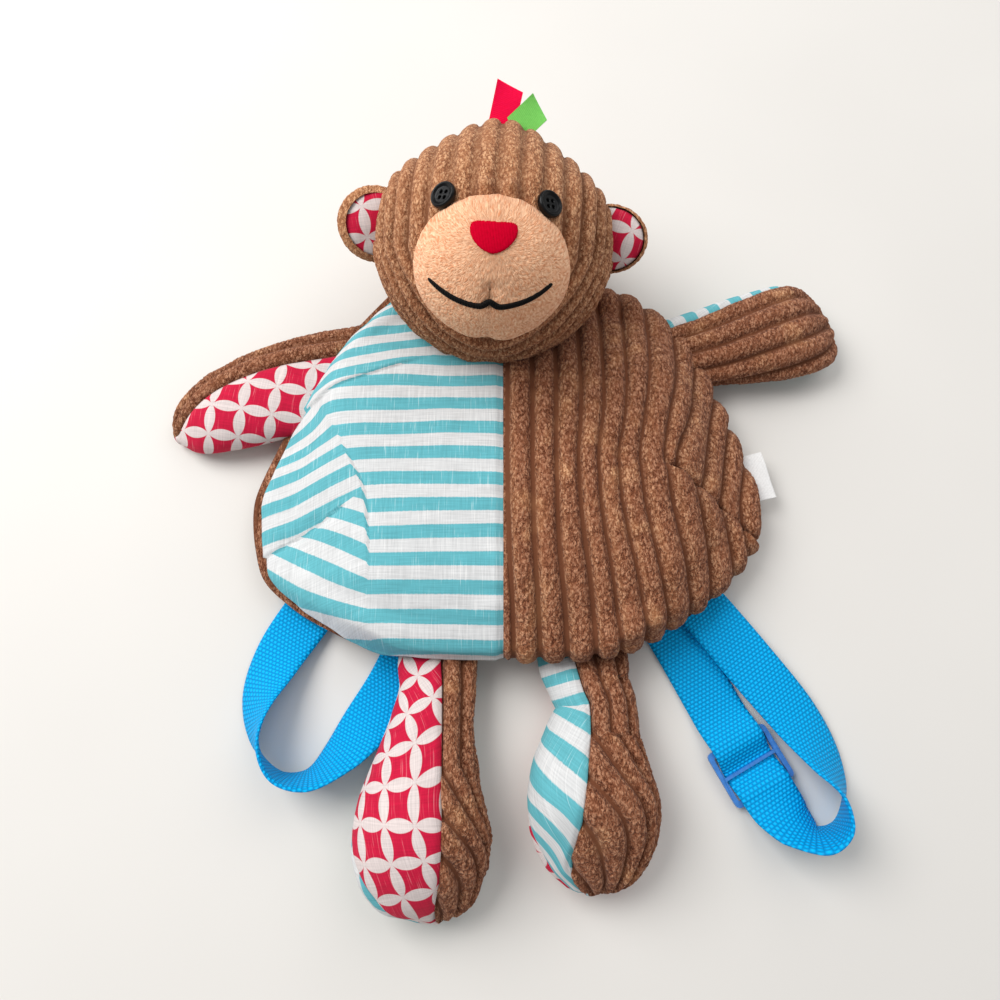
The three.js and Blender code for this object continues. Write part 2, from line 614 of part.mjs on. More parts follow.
const stripedTop = under(
  steps(-130, 2, 13), lengthwise,
  (x, y) => frontInner(x, y) + upright(x, y, STRIPED_WALL), -18,
);
const ribLines = steps(RIB_START - RIB_PITCH, RIB_START + 12 * RIB_PITCH, 13 * RIB_STEPS);
const corduroyTop = under(
  ribLines, lengthwise,
  (x, y, c) => frontInner(x, y) + upright(x, y, CORDUROY_WALL) + rib(c - RIB_START, RIB_PITCH, RIB_HEIGHT),
  -18, bentRib,
);
const backGrid = [
  steps(-130, 130, 20),
  [POUCH_BOTTOM - 1, -72, -62, -53, -45, -37, -28, -12, 10, 30, 50, 66, 80, 94, POUCH_TOP + 1],
];
const backSheet = under(...backGrid, backInner, -10)
  .subtract(under(...backGrid, backOuter, -10))
  .intersect(prism(outline(BACK_MARGIN_LEFT, 0, 0), -5, 40))
  .subtract(neck)
  .subtract(block([-MOUTH.halfWidth, MOUTH.from, -5], [MOUTH.halfWidth, MOUTH.to, 30]));
const pouchSpace = under(steps(-134, 138, 34), steps(-90, 120, 26),
  (x, y) => frontInner(x, y) + upright(x, y, CORDUROY_WALL) + RIB_HEIGHT + 1, -18)
  .subtract(under(...backGrid, (x, y) => backOuter(x, y) - 0.4, -20))
  .intersect(prism(outline(BACK_MARGIN_LEFT + 0.5, 0.5, 0.5), -15, 90));

const clear = (solid) => solid.subtract(pouchSpace);
const largest = (solid) => solid.decompose().sort((a, b) => b.volume() - a.volume())[0];
const ground = [[0, 0, 1], 0];

const labelRoot = along(POUCH_SECTIONS, "y", "right", LABEL.y);
const label = block(
  [labelRoot - 2, LABEL.y - LABEL.width / 2, LABEL.z],
  [labelRoot + LABEL.length, LABEL.y + LABEL.width / 2, LABEL.z + LABEL.thick],
);
const climb = ({ from, to }, share) => THREE.MathUtils.smoothstep(share, from, to);
const outerSeam = (sole) => (s, share) => -15 + sole.outer * climb(sole, share);
const innerSeam = (sole) => (s, share) => 200 - sole.inner * climb(sole, share);
const underEnd = (sole) => (s, share) => 345 + sole.outer * climb(sole, share);
const topSeam = (s) => 180 - s;

const pieces = {
  front_panel_striped: [front(stripedTop, -140, -GAP / 2), "striped"],
  front_panel_corduroy: [front(corduroyTop, GAP / 2, 150), "corduroy"],
  back_panel: [backSheet, "corduroy"],
  side_label: [clear(label), "label"],
  head: [ribbedHead(0).trimByPlane(...ground), "corduroy"],
  muzzle: [muzzleForm(0).subtract(ball(HEAD_RADIUS + 2 * GAP)), "muzzle"],
  nose: [onMuzzle(noseOutline(), NOSE), "nose"],
  mouth: [onMuzzle(mouthOutline(), MOUTH_LINE), "black_thread"],
  eye_left: [button(-1), "button"],
  eye_right: [button(1), "button"],
  ear_left_front: [ear(EAR_LEFT, true), "red_print"],
  ear_left_back: [ear(EAR_LEFT, false), "corduroy"],
  ear_right_front: [ear(EAR_RIGHT, true), "red_print"],
  ear_right_back: [ear(EAR_RIGHT, false), "corduroy"],
  ribbon_red: [ribbon(RIBBON_RED), "ribbon_red"],
  ribbon_green: [ribbon(RIBBON_GREEN), "ribbon_green"],
  arm_left_print: [limbPanel(ARM_LEFT, topSeam, (s) => 360 - s, 0), "red_print"],
  arm_left_corduroy: [limbPanel(ARM_LEFT, (s) => -s, topSeam, 4), "corduroy"],
  arm_right_corduroy: [limbPanel(ARM_RIGHT, (s) => s - 180, (s) => s, 4), "corduroy"],
  arm_right_striped: [limbPanel(ARM_RIGHT, (s) => s, (s) => s + 180, 0), "striped"],
  leg_left_print: [limbPanel(LEG_LEFT, outerSeam(SOLE_LEFT), topSeam, 0), "red_print"],
  leg_left_corduroy: [limbPanel(LEG_LEFT, topSeam, innerSeam(SOLE_LEFT), 3), "corduroy"],
  leg_left_under: [limbPanel(LEG_LEFT, innerSeam(SOLE_LEFT), underEnd(SOLE_LEFT), 0), "striped"],
  leg_right_striped: [limbPanel(LEG_RIGHT, outerSeam(SOLE_RIGHT), topSeam, 0), "striped"],
  leg_right_corduroy: [limbPanel(LEG_RIGHT, topSeam, innerSeam(SOLE_RIGHT), 4), "corduroy"],
  leg_right_under: [limbPanel(LEG_RIGHT, innerSeam(SOLE_RIGHT), underEnd(SOLE_RIGHT), 0), "red_print"],
  strap_left: [strap(STRAP_LEFT, 30), "webbing"],
  strap_right: [strap(STRAP_RIGHT, 48), "webbing"],
  slider_right: [slider(), "slider"],
};
const OUTSIDE_POUCH = /^(arm|leg|strap|side)_/;

const backpack = new THREE.Group();
for (const [name, [solid, slot]] of Object.entries(pieces)) {
  const shown = OUTSIDE_POUCH.test(name) ? largest(clear(solid)) : largest(solid);
  const [colour, roughness] = COLOURS[slot];
  const material = new THREE.MeshStandardMaterial({ color: colour, roughness, metalness: 0, name: slot });
  const mesh = new THREE.Mesh(geometryOf(shown), material);
  mesh.name = name;
  backpack.add(mesh);
}

// The frame's origin is the middle of the underside.
const box = new THREE.Box3().setFromObject(backpack);
const middle = box.getCenter(new THREE.Vector3());
for (const mesh of backpack.children) {
  mesh.geometry.translate(-middle.x, -middle.y, -box.min.z);
}

export default backpack;
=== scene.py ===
"""Looks of a plush animal backpack lying on its back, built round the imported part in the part's own frame."""
import math

import bpy
import numpy as np
from mathutils import Matrix, Vector


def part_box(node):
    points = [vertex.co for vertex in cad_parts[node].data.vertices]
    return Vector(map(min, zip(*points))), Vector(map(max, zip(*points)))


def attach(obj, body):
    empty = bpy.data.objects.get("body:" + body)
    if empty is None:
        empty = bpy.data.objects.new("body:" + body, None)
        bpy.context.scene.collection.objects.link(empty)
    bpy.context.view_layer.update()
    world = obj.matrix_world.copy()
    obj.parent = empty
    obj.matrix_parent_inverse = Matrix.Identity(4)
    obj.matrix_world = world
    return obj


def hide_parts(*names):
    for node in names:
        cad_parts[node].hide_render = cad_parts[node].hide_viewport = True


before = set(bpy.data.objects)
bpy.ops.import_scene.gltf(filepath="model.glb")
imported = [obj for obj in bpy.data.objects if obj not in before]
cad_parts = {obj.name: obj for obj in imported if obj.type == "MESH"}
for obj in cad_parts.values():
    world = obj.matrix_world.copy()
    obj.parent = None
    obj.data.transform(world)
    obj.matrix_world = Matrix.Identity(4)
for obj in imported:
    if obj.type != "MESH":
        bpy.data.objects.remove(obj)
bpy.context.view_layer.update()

# The tables below are in millimetres, as the pattern was measured, with the seam between the halves at x 0
MM = 0.001
SIDES = {-1: "left", 1: "right"}


def table(names, *rows):
    """Rows of a table as one array for each named column."""
    return dict(zip(names.split(), np.array(rows, float).T))


# Pouch: the seam line's half widths, the front's rise, and the share of each half width where it breaks down
POUCH_BOTTOM = -82.0
POUCH_TOP = 112.0
POUCH = table(
    "y left right rise break_left break_right",
    (-82, 26, 30, 0, 0.8, 0.8),
    (-80, 50, 47, 9, 0.8, 0.8),
    (-76, 63, 61, 17, 0.78, 0.78),
    (-68, 78, 76, 24, 0.74, 0.76),
    (-58, 94, 91, 28, 0.7, 0.74),
    (-45, 109, 107, 31, 0.63, 0.7),
    (-30, 115, 118, 32, 0.57, 0.66),
    (-12, 118, 126, 33, 0.55, 0.62),
    (0, 117, 124, 33, 0.6, 0.64),
    (25, 108, 117, 32, 0.72, 0.7),
    (50, 98, 108, 30, 0.84, 0.74),
    (75, 85, 97, 23, 0.84, 0.76),
    (95, 70, 82, 13, 0.8, 0.78),
    (112, 56, 62, 0, 0.8, 0.8),
)
DARTS = (
    {"tip": (-72, -11.5), "edge": (-114, -33), "depth": 4},
    {"tip": (74.5, 6), "edge": (118, -24.5), "depth": 6},
)
DART_WIDTH = 4.0
# The corduroy under the right dart is folded over the corduroy above it. The fold's widths
# above and below its line also set how far its painted shadow reaches.
LAP = {
    "start": -0.05, "full": 0.12, "fold_above": 2.6, "fold_below": 0.9, "sunk": 2.6,
    "reach": 6, "lift": 3.4, "edge_reach": 2.5, "edge_lift": 1.2,
}
BREAK_SOFTNESS = 0.14
STRIPED_WALL = 2.0
CORDUROY_WALL = 2.4
BACK_WALL = 3.0
WALL_STEEPEST = 2.4  # how many times thicker a steep wall may get, measured straight up
# Where the cloth turns under at the outline: steps outward and down from the edge
STRIPED_RIM = ((0.5, -0.6), (0.9, -1.5), (0.9, -2.6), (0.4, -3.4), (-0.8, -3.8))
CORDUROY_RIM = (
    (1.0, -1.3), (1.8, -2.8), (2.2, -4.4), (2.0, -6.0), (1.2, -7.3), (0.0, -8.2), (-1.8, -8.8),
)
REST_LIFT = 2.7
EDGE_ROLL = 6.0
ROLL_START = 0.82
REST_PATCH = {"x": 17, "y": -45, "half_width": 24, "half_length": 16, "fade": 0.35}
BACK_MARGIN_LEFT = 4.0
MOUTH = {"half_width": 55.0, "low": 56.0, "high": 64.0}

# Corduroy: where the grooves between the ribs run, above the right dart and below it
RIB_PITCH = 11.0
RIB_HEIGHT = 3.1
RIB_GROOVE = {"near": 0.17, "far": 0.1}  # share of the pitch, near the seam and at the side
GROOVES = [f"groove_{k}" for k in range(1, 12)]
RIBS_ABOVE = table(
    "y " + " ".join(GROOVES),
    (-30, 2.4, 13.9, 24.9, 36.0, 45.5, 55.7, 66.3, 79.6, 90, 99, 106),
    (-10, 2.0, 13.5, 24.4, 34.7, 43.9, 53.3, 63.6, 76.2, 84, 92.5, 102.8),
    (8, 1.9, 13.4, 24.3, 34.4, 43.4, 52.7, 62.5, 74.3, 79.5, 95.8, 106.3),
    (30, 2.0, 13.7, 24.7, 36.4, 46.8, 57.3, 66.6, 78.6, 88.5, 101.2, 111.5),
    (45, 2.0, 13.9, 25.1, 37.1, 48.0, 59.0, 69.5, 82.6, 93, 105.6, 116),
    (65, 2.0, 14.1, 25.5, 37.2, 48.6, 59.8, 72.0, 86.4, 97, 108.5, 120),
    (112, 2.0, 14.4, 26.0, 37.6, 49.0, 60.4, 73.0, 88.0, 100, 112, 124),
)
RIBS_BELOW = table(
    "y " + " ".join(GROOVES),
    (-82, 4.4, 16.2, 28.5, 41.4, 52.8, 65.0, 75.6, 87.6, 97, 109, 121),
    (-60, 4.0, 15.3, 27.2, 39.8, 50.2, 62.3, 72.9, 85.6, 95.5, 108, 119),
    (-37, 2.7, 14.0, 25.1, 37.5, 47.4, 58.1, 68.7, 82.0, 94.9, 107.8, 116.3),
    (-22, 2.3, 13.6, 24.6, 35.8, 45.2, 55.3, 65.9, 78.8, 92.5, 105, 112.5),
    (-10, 2.0, 13.5, 24.4, 34.7, 43.9, 53.3, 63.6, 76.2, 89.5, 98, 107),
    (8, 1.9, 13.4, 24.3, 34.4, 43.4, 52.7, 62.5, 74.3, 80, 90, 101),
)
PILE_CLUMP = 1.5  # width of one clump of pile
PILE_DEPTH = 0.65

# Striped half: the crease where its flat front breaks to the side, how much cloth is tucked in there, and how
# far the stripes climb beside it above the dart and below it
CREASE = table(
    "y x tuck above below",
    (-82, -58, 0, 0.27, -0.1),
    (-66, -59, 0, 0.27, -0.24),
    (-52, -60, 0, 0.27, -0.34),
    (-40, -60, 1.8, 0.27, -0.4),
    (-26, -61, 4.8, 0.27, -0.4),
    (-6, -64, 5.7, 0.27, -0.38),
    (8.5, -71, 4.2, 0.3, -0.38),
    (24, -79, 1, 0.45, -0.38),
    (43, -91, 0, 0.75, -0.38),
    (60, -101, 0, 0.75, -0.38),
)
NECK_FOLD = {"start": (-89.5, 43.3), "end": (-33.0, 64.0), "climb": 0.18}
STRIPE_START = 4.75  # middle of a white stripe on the seam

# Head
HEAD_CENTRE = (-4.2, 112.6, 55.0)
HEAD_RADIUS = 56.0
UNDER_HEAD = 3.0  # how far cloth runs on under the head's surface
HEAD_TILT = 36.0
HEAD_ROLL = -4.5
HEAD_RIB_PITCH = 10.6
HEAD_RIB_HEIGHT = 2.4
HEAD_GROOVE = 0.13  # on the cheeks; on the forehead the ribs lie further apart
FOREHEAD_GROOVE = 0.22
# Painted light on the head's plush: paler all over, more on the forehead, and less at the chin for painted
# shade
HEAD_PAINTED_LIGHT = {"all": 0.62, "forehead": 0.1, "chin": 0.15}
GATHERS = {"side": 5.3, "above": 23.5, "half_width": 3.2, "half_height": 2.6, "out": 2.4}  # between the eyes
CROWN = {"start": 22.0, "over": 30.0, "narrow": 0.34, "drop": 1.8}  # the head narrows towards its crown
CHIN_SWEEP = {"start": 5.0, "share": 1.0, "power": 1.4}  # ribs sweep in to the chin below the face's middle
MUZZLE = {"below": 13.5, "out": 46.0, "half_width": 33.5, "half_height": 30.5, "half_depth": 30.0}
NOSE = {"half_width": 9.4, "top": 7.2, "waist": 3.6, "bottom": -3.3, "thick": 0.9, "above": 17.0, "turn": 1.0}
SMILE = {"half_width": 25.6, "drop": -7.0, "rise": 8.2, "stroke": 2.6, "thick": 1.2, "peak": 2.2, "turn": 2.4}
STITCH_LENGTH = 1.1
EYE = {
    "side": 23.2, "above": 17.0, "radius": 5.8, "thick": 3.2, "rim": 1.2, "dish": 0.9,
    "hole": 0.75, "spacing": 1.25,
}
EYE_LEAN = {"side": 11, "up": 9}  # the buttons turn out this much more than the head does
EAR = {"out": 17.6, "thick": 5.5, "inset": 0.7, "lean": 18}
EAR_PLACES = {
    -1: {"centre": (57.0, 4.0, -1.0), "high": 16.5, "shown": -2.0, "roll": 126},
    1: {"centre": (55.0, 6.0, -1.0), "high": 15.0, "shown": 0.3, "roll": 110},
}
RIBBON = {"width": 12.5, "thick": 1.4}
RIBBON_RED = {"at": -0.8, "turn": -9, "length": 18.5, "back": 0.5, "slant": 2.6}
RIBBON_GREEN = {"at": 7, "turn": -45, "length": 14.6, "back": -2.2, "slant": 2.0}

# Limbs from root to tip: centre line, half width, half height, the centre's height and the upper seam's angle
LIMB_COLUMNS = "x y half thick z seam"
ARM_LEFT = table(
    LIMB_COLUMNS,
    (-62, 74.5, 22, 3, 11, 108),
    (-74, 70, 23, 6, 11, 110),
    (-91, 63.5, 25, 9.5, 11.5, 112),
    (-108, 56.5, 25.5, 12, 12.5, 116),
    (-126, 49.5, 24.5, 12.5, 12.5, 118),
    (-142, 43, 21.5, 12, 12, 116),
    (-154, 38, 17.5, 10, 10, 108),
    (-162, 34.5, 12.5, 7.5, 7.5, 96),
    (-167, 32, 4, 3.5, 5, 84),
)
ARM_RIGHT = table(
    LIMB_COLUMNS,
    (66, 72, 17, 4, 11, 128),
    (78, 74, 18, 7, 12, 128),
    (94, 77, 20, 10.5, 13, 131),
    (110, 80, 22, 12, 14, 136),
    (126, 83.5, 24, 13, 14.5, 144),
    (142, 87, 25.5, 13, 14.5, 153),
    (155, 90.5, 25.5, 12, 13.5, 160),
    (163.5, 93.5, 22.5, 9.5, 11.5, 165),
    (168.5, 95.5, 16.5, 6.5, 9.5, 165),
    (171, 96.5, 8, 3.5, 8, 165),
)
LEG_LEFT = table(
    LIMB_COLUMNS,
    (-30, -75, 18, 3, 14, 84),
    (-30, -83.2, 18.5, 7, 13.5, 84),
    (-30, -95, 17.5, 10.5, 13.5, 80),
    (-32, -110, 19, 14, 14.5, 72),
    (-34, -126, 22.5, 17.5, 17, 68),
    (-35.5, -145, 27.5, 20.5, 19.8, 67),
    (-34.5, -160, 29, 20.5, 19.8, 70),
    (-31.5, -173, 25.5, 17, 17.5, 76),
    (-29, -182, 18, 11, 15, 86),
    (-28, -187.2, 9, 5, 13, 90),
    (-27.6, -188.4, 2.5, 2, 12.6, 90),
)
LEG_RIGHT = table(
    LIMB_COLUMNS,
    (34.5, -75, 20.5, 3, 14, 102),
    (36.5, -83.2, 20.5, 7, 13.5, 102),
    (39, -93, 18.5, 10.5, 13.5, 104),
    (42, -101, 17.5, 12.5, 13.5, 106),
    (40, -114, 21.5, 15.5, 15.5, 98),
    (38, -130, 26.5, 19.5, 18.8, 98),
    (38, -143, 28, 20.5, 19.8, 102),
    (38, -156, 26, 17.5, 18, 110),
    (37.5, -168, 20, 12.5, 15.5, 122),
    (37, -175.6, 11, 6.5, 13.5, 122),
    (37, -177.6, 3, 2.5, 13, 122),
)
LIMB_RIB_HEIGHT = 2.4
LIMB_GROOVE = 0.1
LIMB_RIB_PITCH = 10.0
LIMB_TIP = 2.5  # the most that the cloth rounds off past the last row of a limb's table
TIP_ROWS = 8
# Right foot: how far along the leg each blue stripe meets the outer edge and the middle seam
FOOT_STRIPES = table(
    "stripe outer seam",
    (-0.5, 2.5, 1.5),
    (0.5, 12.5, 12.0),
    (1.5, 21, 22.5),
    (2.5, 30.7, 36.5),
    (3.5, 41.2, 55),
    (4.5, 53.5, 74.5),
    (5.5, 65.8, 91),
    (6.5, 77.5, 105),
    (8.5, 101, 130),
)

# Straps from the sewn corner, round the loop, to the end under the back
WEBBING_WIDTH = 25.0
WEBBING_THICK = 1.8
STRAP_COLUMNS = "x y z lean"
STRAP_LEFT = table(
    STRAP_COLUMNS,
    (-88, -51, 4, 0),
    (-95, -61, 4.5, 0),
    (-105.5, -79, 6, -14),
    (-112, -99, 9.5, -40),
    (-110, -118, 13, -70),
    (-100, -131, 13.4, -92),
    (-86, -132.5, 12.6, -112),
    (-72.5, -122, 9.6, -138),
    (-62, -108, 4.2, -164),
    (-53, -94, 1.5, -179),
    (-44, -75, 1.25, -180),
    (-30, -38, 1.25, -180),
    (-17, 40, 1.25, -180),
)
STRAP_RIGHT = table(
    STRAP_COLUMNS,
    (92, -51, 4.5, 0),
    (100, -61, 5, 0),
    (117, -83.6, 5.6, 0),
    (133, -105.2, 6.6, 12),
    (144, -124.5, 9.8, 38),
    (149, -139, 12.6, 66),
    (146.5, -151.5, 13.4, 88),
    (137, -156.6, 12.8, 112),
    (127.6, -151.5, 9.6, 146),
    (122, -144.5, 6.8, 172),
    (118.6, -138.9, 6, 180),
    (116.8, -135.6, 5.8, 180),
    (113.2, -129, 1.6, 180),
    (111.2, -125.2, 1.6, 180),
    (107.6, -118.6, 5.8, 180),
    (105.8, -115.3, 5.8, 180),
    (101.4, -107, 2.4, 180),
    (96, -96, 1.25, 180),
    (78, -62, 1.25, 180),
    (44, -10, 1.25, 180),
    (17, 40, 1.25, 180),
)
SLIDER = {"centre": (112.2, -127.1, 2.8), "turn": 118.5, "width": 31.0, "bar": 2.6, "side": 2.2}
LABEL = {"y": 6.5, "z": 10.2, "width": 24.0, "length": 10.0, "sewn_in": 4.0, "thick": 0.9, "turn": 14}

# Camera: where the photograph was taken from
PHOTO_WIDTH = 1000
PHOTO_FOCAL = 751
CAMERA_TILT = 16.94  # degrees from straight down
CAMERA_AT = (-1.5, -111.2, 365.0)

striped_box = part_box("front_panel_striped")
corduroy_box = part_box("front_panel_corduroy")
ORIGIN = np.array(
    ((striped_box[1].x + corduroy_box[0].x) / 2, corduroy_box[0].y - POUCH_BOTTOM * MM, 0)
)


# Curves and frames


def joined(*parts):
    """Arrays put together point by point: coordinates into points, or corners into faces."""
    return np.stack(parts, -1)


def through(rows, key, name, at):
    """A column's value at places along another column, on a smooth curve through the rows."""
    t, v = rows[key], rows[name]
    slope = np.empty_like(v)
    slope[1:-1] = (v[2:] - v[:-2]) / (t[2:] - t[:-2])
    slope[0] = (v[1] - v[0]) / (t[1] - t[0])
    slope[-1] = (v[-1] - v[-2]) / (t[-1] - t[-2])
    at = np.clip(at, t[0], t[-1])
    i = np.clip(np.searchsorted(t, at, side="right") - 1, 0, len(t) - 2)
    span = t[i + 1] - t[i]
    s = (at - t[i]) / span
    s2, s3 = s * s, s * s * s
    ends = (2 * s3 - 3 * s2 + 1) * v[i] + (3 * s2 - 2 * s3) * v[i + 1]
    return ends + ((s3 - 2 * s2 + s) * slope[i] + (s3 - s2) * slope[i + 1]) * span


def smoothstep(value, low, high):
    """A share that goes smoothly from 0 at the low value to 1 at the high one."""
    t = np.clip((value - low) / (high - low), 0, 1)
    return t * t * (3 - 2 * t)


def lengths(line):
    """How far along a line each of its points lies."""
    return np.concatenate([[0], np.cumsum(np.linalg.norm(np.diff(line, axis=0), axis=1))])


def even_steps(points, count):
    """The same line as equally spaced points."""
    length = lengths(points)
    at = np.linspace(0, length[-1], count)
    return np.stack([np.interp(at, length, points[:, k]) for k in range(points.shape[1])], -1)


def cos_sin(degrees):
    """Cosine and sine of an angle in degrees."""
    return math.cos(math.radians(degrees)), math.sin(math.radians(degrees))


def turned(axis, degrees):
    """The frame that is turned about an axis."""
    return np.array(Matrix.Rotation(math.radians(degrees), 4, axis))


def moved(x, y, z):
    """The frame that is moved along the three axes."""
    return np.array(Matrix.Translation((x, y, z)))


def placed(matrix, points):
    """Points of a frame as seen from the frame outside it."""
    return points @ matrix[:3, :3].T + matrix[:3, 3]


HEAD = moved(*HEAD_CENTRE) @ turned("X", HEAD_TILT) @ turned("Z", HEAD_ROLL)
MUZZLE_FRAME = HEAD @ turned("X", MUZZLE["below"]) @ moved(0, 0, MUZZLE["out"])


# Even, seeded irregularity


def hashed(cells, seed):
    """A number from 0 to 1 for each whole-number cell, the same on every run."""
    cells = cells.astype(np.int64)
    n = cells[..., 0] * 73856093 ^ cells[..., 1] * 19349663 ^ cells[..., 2] * 83492791 ^ seed * 668265263
    n = (n ^ (n >> 13)) * 1274126177 & 0x7FFFFFFF
    n = (n ^ (n >> 15)) * 2246822519 & 0x7FFFFFFF
    return (n >> 7 & 0xFFFF) / 0xFFFF


def drift(points, size, seed):
    """Smooth unevenness from -1 to 1 with features of about that size."""
    p = points / size
    cell = np.floor(p)
    f = p - cell
    f = f * f * (3 - 2 * f)
    total = np.zeros(points.shape[:-1])
    for corner in np.ndindex(2, 2, 2):
        share = np.prod(np.where(np.array(corner) == 1, f, 1 - f), axis=-1)
        total += share * hashed(cell + corner, seed)
    return 2 * total - 1


def clumps(points, size, seed):
    """Height from 0 between clumps to 1 on their tips, for rounded clumps of about that size."""
    p = points / size
    cell = np.floor(p)
    nearest = np.full(points.shape[:-1], 9.0)
    for step in np.ndindex(3, 3, 3):
        there = cell + np.array(step) - 1
        tip = there + np.stack([hashed(there, seed + k) for k in range(3)], -1)
        nearest = np.minimum(nearest, ((tip - p) ** 2).sum(-1))
    return 1 - np.clip(np.sqrt(nearest) / 0.85, 0, 1) ** 1.5


# Meshes


def grid_faces(rows, columns, ring=False):
    """Four-sided faces of a grid of points, closed round its columns if it is a ring."""
    i, j = np.meshgrid(np.arange(rows - 1), np.arange(columns - (not ring)), indexing="ij")
    after = (j + 1) % columns
    corners = (i * columns + j, i * columns + after, (i + 1) * columns + after, (i + 1) * columns + j)
    return np.stack(corners, -1).reshape(-1, 4)


def normals_of(grid):
    """Directions square to a grid of points."""
    normal = np.cross(np.gradient(grid, axis=1), np.gradient(grid, axis=0))
    return normal / np.maximum(np.linalg.norm(normal, axis=-1, keepdims=True), 1e-9)


def in_scene(made):
    """The object, once it is linked into the scene."""
    bpy.context.scene.collection.objects.link(made)
    return made


def make_piece(name, points, faces, finish, slot, node, cloth=None, pile=None, fold=None):
    """A mesh in the part's frame that stands for a CAD node. Cloth holds each point's place on the flat cloth
    in millimetres, fold its distance past a fold and the cloth that the fold hides, and pile its height on
    the rib, its height in the clump and how pale it is coloured, which is partly painted light."""
    points = points.reshape(-1, 3)
    used = np.unique(np.concatenate([np.ravel(face) for face in faces]))
    number = np.zeros(len(points), int)
    number[used] = np.arange(len(used))
    mesh = bpy.data.meshes.new(name)
    corners = (points[used] * MM + ORIGIN).tolist()
    mesh.from_pydata(corners, [], [number[list(face)].tolist() for face in faces])
    for label, values in (("cloth", cloth), ("pile", pile), ("fold", fold)):
        if values is not None:
            layer = mesh.attributes.new(label, "FLOAT_VECTOR", "POINT")
            layer.data.foreach_set("vector", values.reshape(-1, 3)[used].astype(np.float32).ravel())
    mesh.validate()
    mesh.shade_smooth()
    mesh.materials.append(finish)
    made = in_scene(bpy.data.objects.new(name, mesh))
    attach(made, "root")
    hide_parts(node)
    return made


# Materials


def colour(code):
    """An sRGB hex colour as linear red, green, blue and alpha."""
    parts = [int(code[i:i + 2], 16) / 255 for i in (1, 3, 5)]
    return tuple(c / 12.92 if c <= 0.04045 else ((c + 0.055) / 1.055) ** 2.4 for c in parts) + (1.0,)


def add_node(tree, kind, inputs=None, **settings):
    """Adds a shader node with its settings; an input is a plain value or another node's output to link."""
    made = tree.nodes.new("ShaderNode" + kind)
    for name, value in settings.items():
        setattr(made, name, value)
    for key, value in (inputs or {}).items():
        if isinstance(value, bpy.types.NodeSocket):
            tree.links.new(value, made.inputs[key])
        else:
            made.inputs[key].default_value = value
    return made


def maths(tree, operation, *values):
    """What a calculation gives for plain numbers or other nodes' outputs."""
    return add_node(tree, "Math", dict(enumerate(values)), operation=operation).outputs[0]


def vector_maths(tree, operation, *values):
    """What a calculation gives for plain vectors or other nodes' outputs."""
    return add_node(tree, "VectorMath", dict(enumerate(values)), operation=operation).outputs[0]


def spread(tree, value, low, high, to_low=0.0, to_high=1.0):
    """A value with its range stretched to another one and held at the ends."""
    return add_node(tree, "MapRange", {0: value, 1: low, 2: high, 3: to_low, 4: to_high}).outputs[0]


def noise(tree, place, scale, detail, **more):
    """A noise's outputs over a place: first its height, then its colour."""
    return add_node(tree, "TexNoise", {"Vector": place, "Scale": scale, "Detail": detail, **more}).outputs


def mixed(tree, factor, first, second):
    """Two numbers mixed by a factor."""
    return add_node(tree, "Mix", {0: factor, 2: first, 3: second}, data_type="FLOAT").outputs[0]


def blended(tree, factor, first, second):
    """Two colours mixed by a factor; a colour is a hex code, linear values or another node's output."""
    first, second = (colour(c) if isinstance(c, str) else c for c in (first, second))
    return add_node(tree, "Mix", {0: factor, 6: first, 7: second}, data_type="RGBA").outputs[2]


def carried(tree, name):
    """A vector that the mesh carries at each of its points."""
    return add_node(tree, "Attribute", attribute_name=name).outputs["Vector"]


def own_place(tree):
    """The place in the piece's own frame, in metres."""
    return add_node(tree, "TexCoord").outputs["Object"]


def axes(tree, vector):
    """A vector's three parts."""
    return add_node(tree, "SeparateXYZ", {0: vector}).outputs


def bent_place(tree, place, scale, amount):
    """A place pushed aside by a swirl, so that what is laid over it curls."""
    centred = vector_maths(tree, "SUBTRACT", noise(tree, place, scale, 1.0)["Color"], (0.5, 0.5, 0.5))
    return vector_maths(tree, "ADD", place, vector_maths(tree, "MULTIPLY", centred, amount))


def new_finish(name, roughness, sheen=0.0, specular=0.3, ior=1.5):
    """A named material with its shader's constant sockets set."""
    made = bpy.data.materials.new(name)
    made.use_nodes = True
    shader = made.node_tree.nodes["Principled BSDF"]
    shader.inputs["Roughness"].default_value = roughness
    shader.inputs["Sheen Weight"].default_value = sheen
    shader.inputs["Sheen Roughness"].default_value = 0.5
    shader.inputs["Specular IOR Level"].default_value = specular
    shader.inputs["IOR"].default_value = ior
    return made, made.node_tree, shader


def dress(tree, shader, shown, relief, strength, millimetres):
    """Links a shader's colour and its relief, whose height is given in millimetres."""
    raised = add_node(tree, "Bump", {"Strength": strength, "Distance": millimetres * MM, "Height": relief})
    tree.links.new(shown, shader.inputs["Base Color"])
    tree.links.new(raised.outputs["Normal"], shader.inputs["Normal"])


CURL = 1.25  # width of one curl of pile in the material, finer than the clumps of the mesh
STROKE = 0.45
COMBED_PATCH = 14.0  # width of a patch that is combed one way
COMBED_ANGLES = (55, -35)


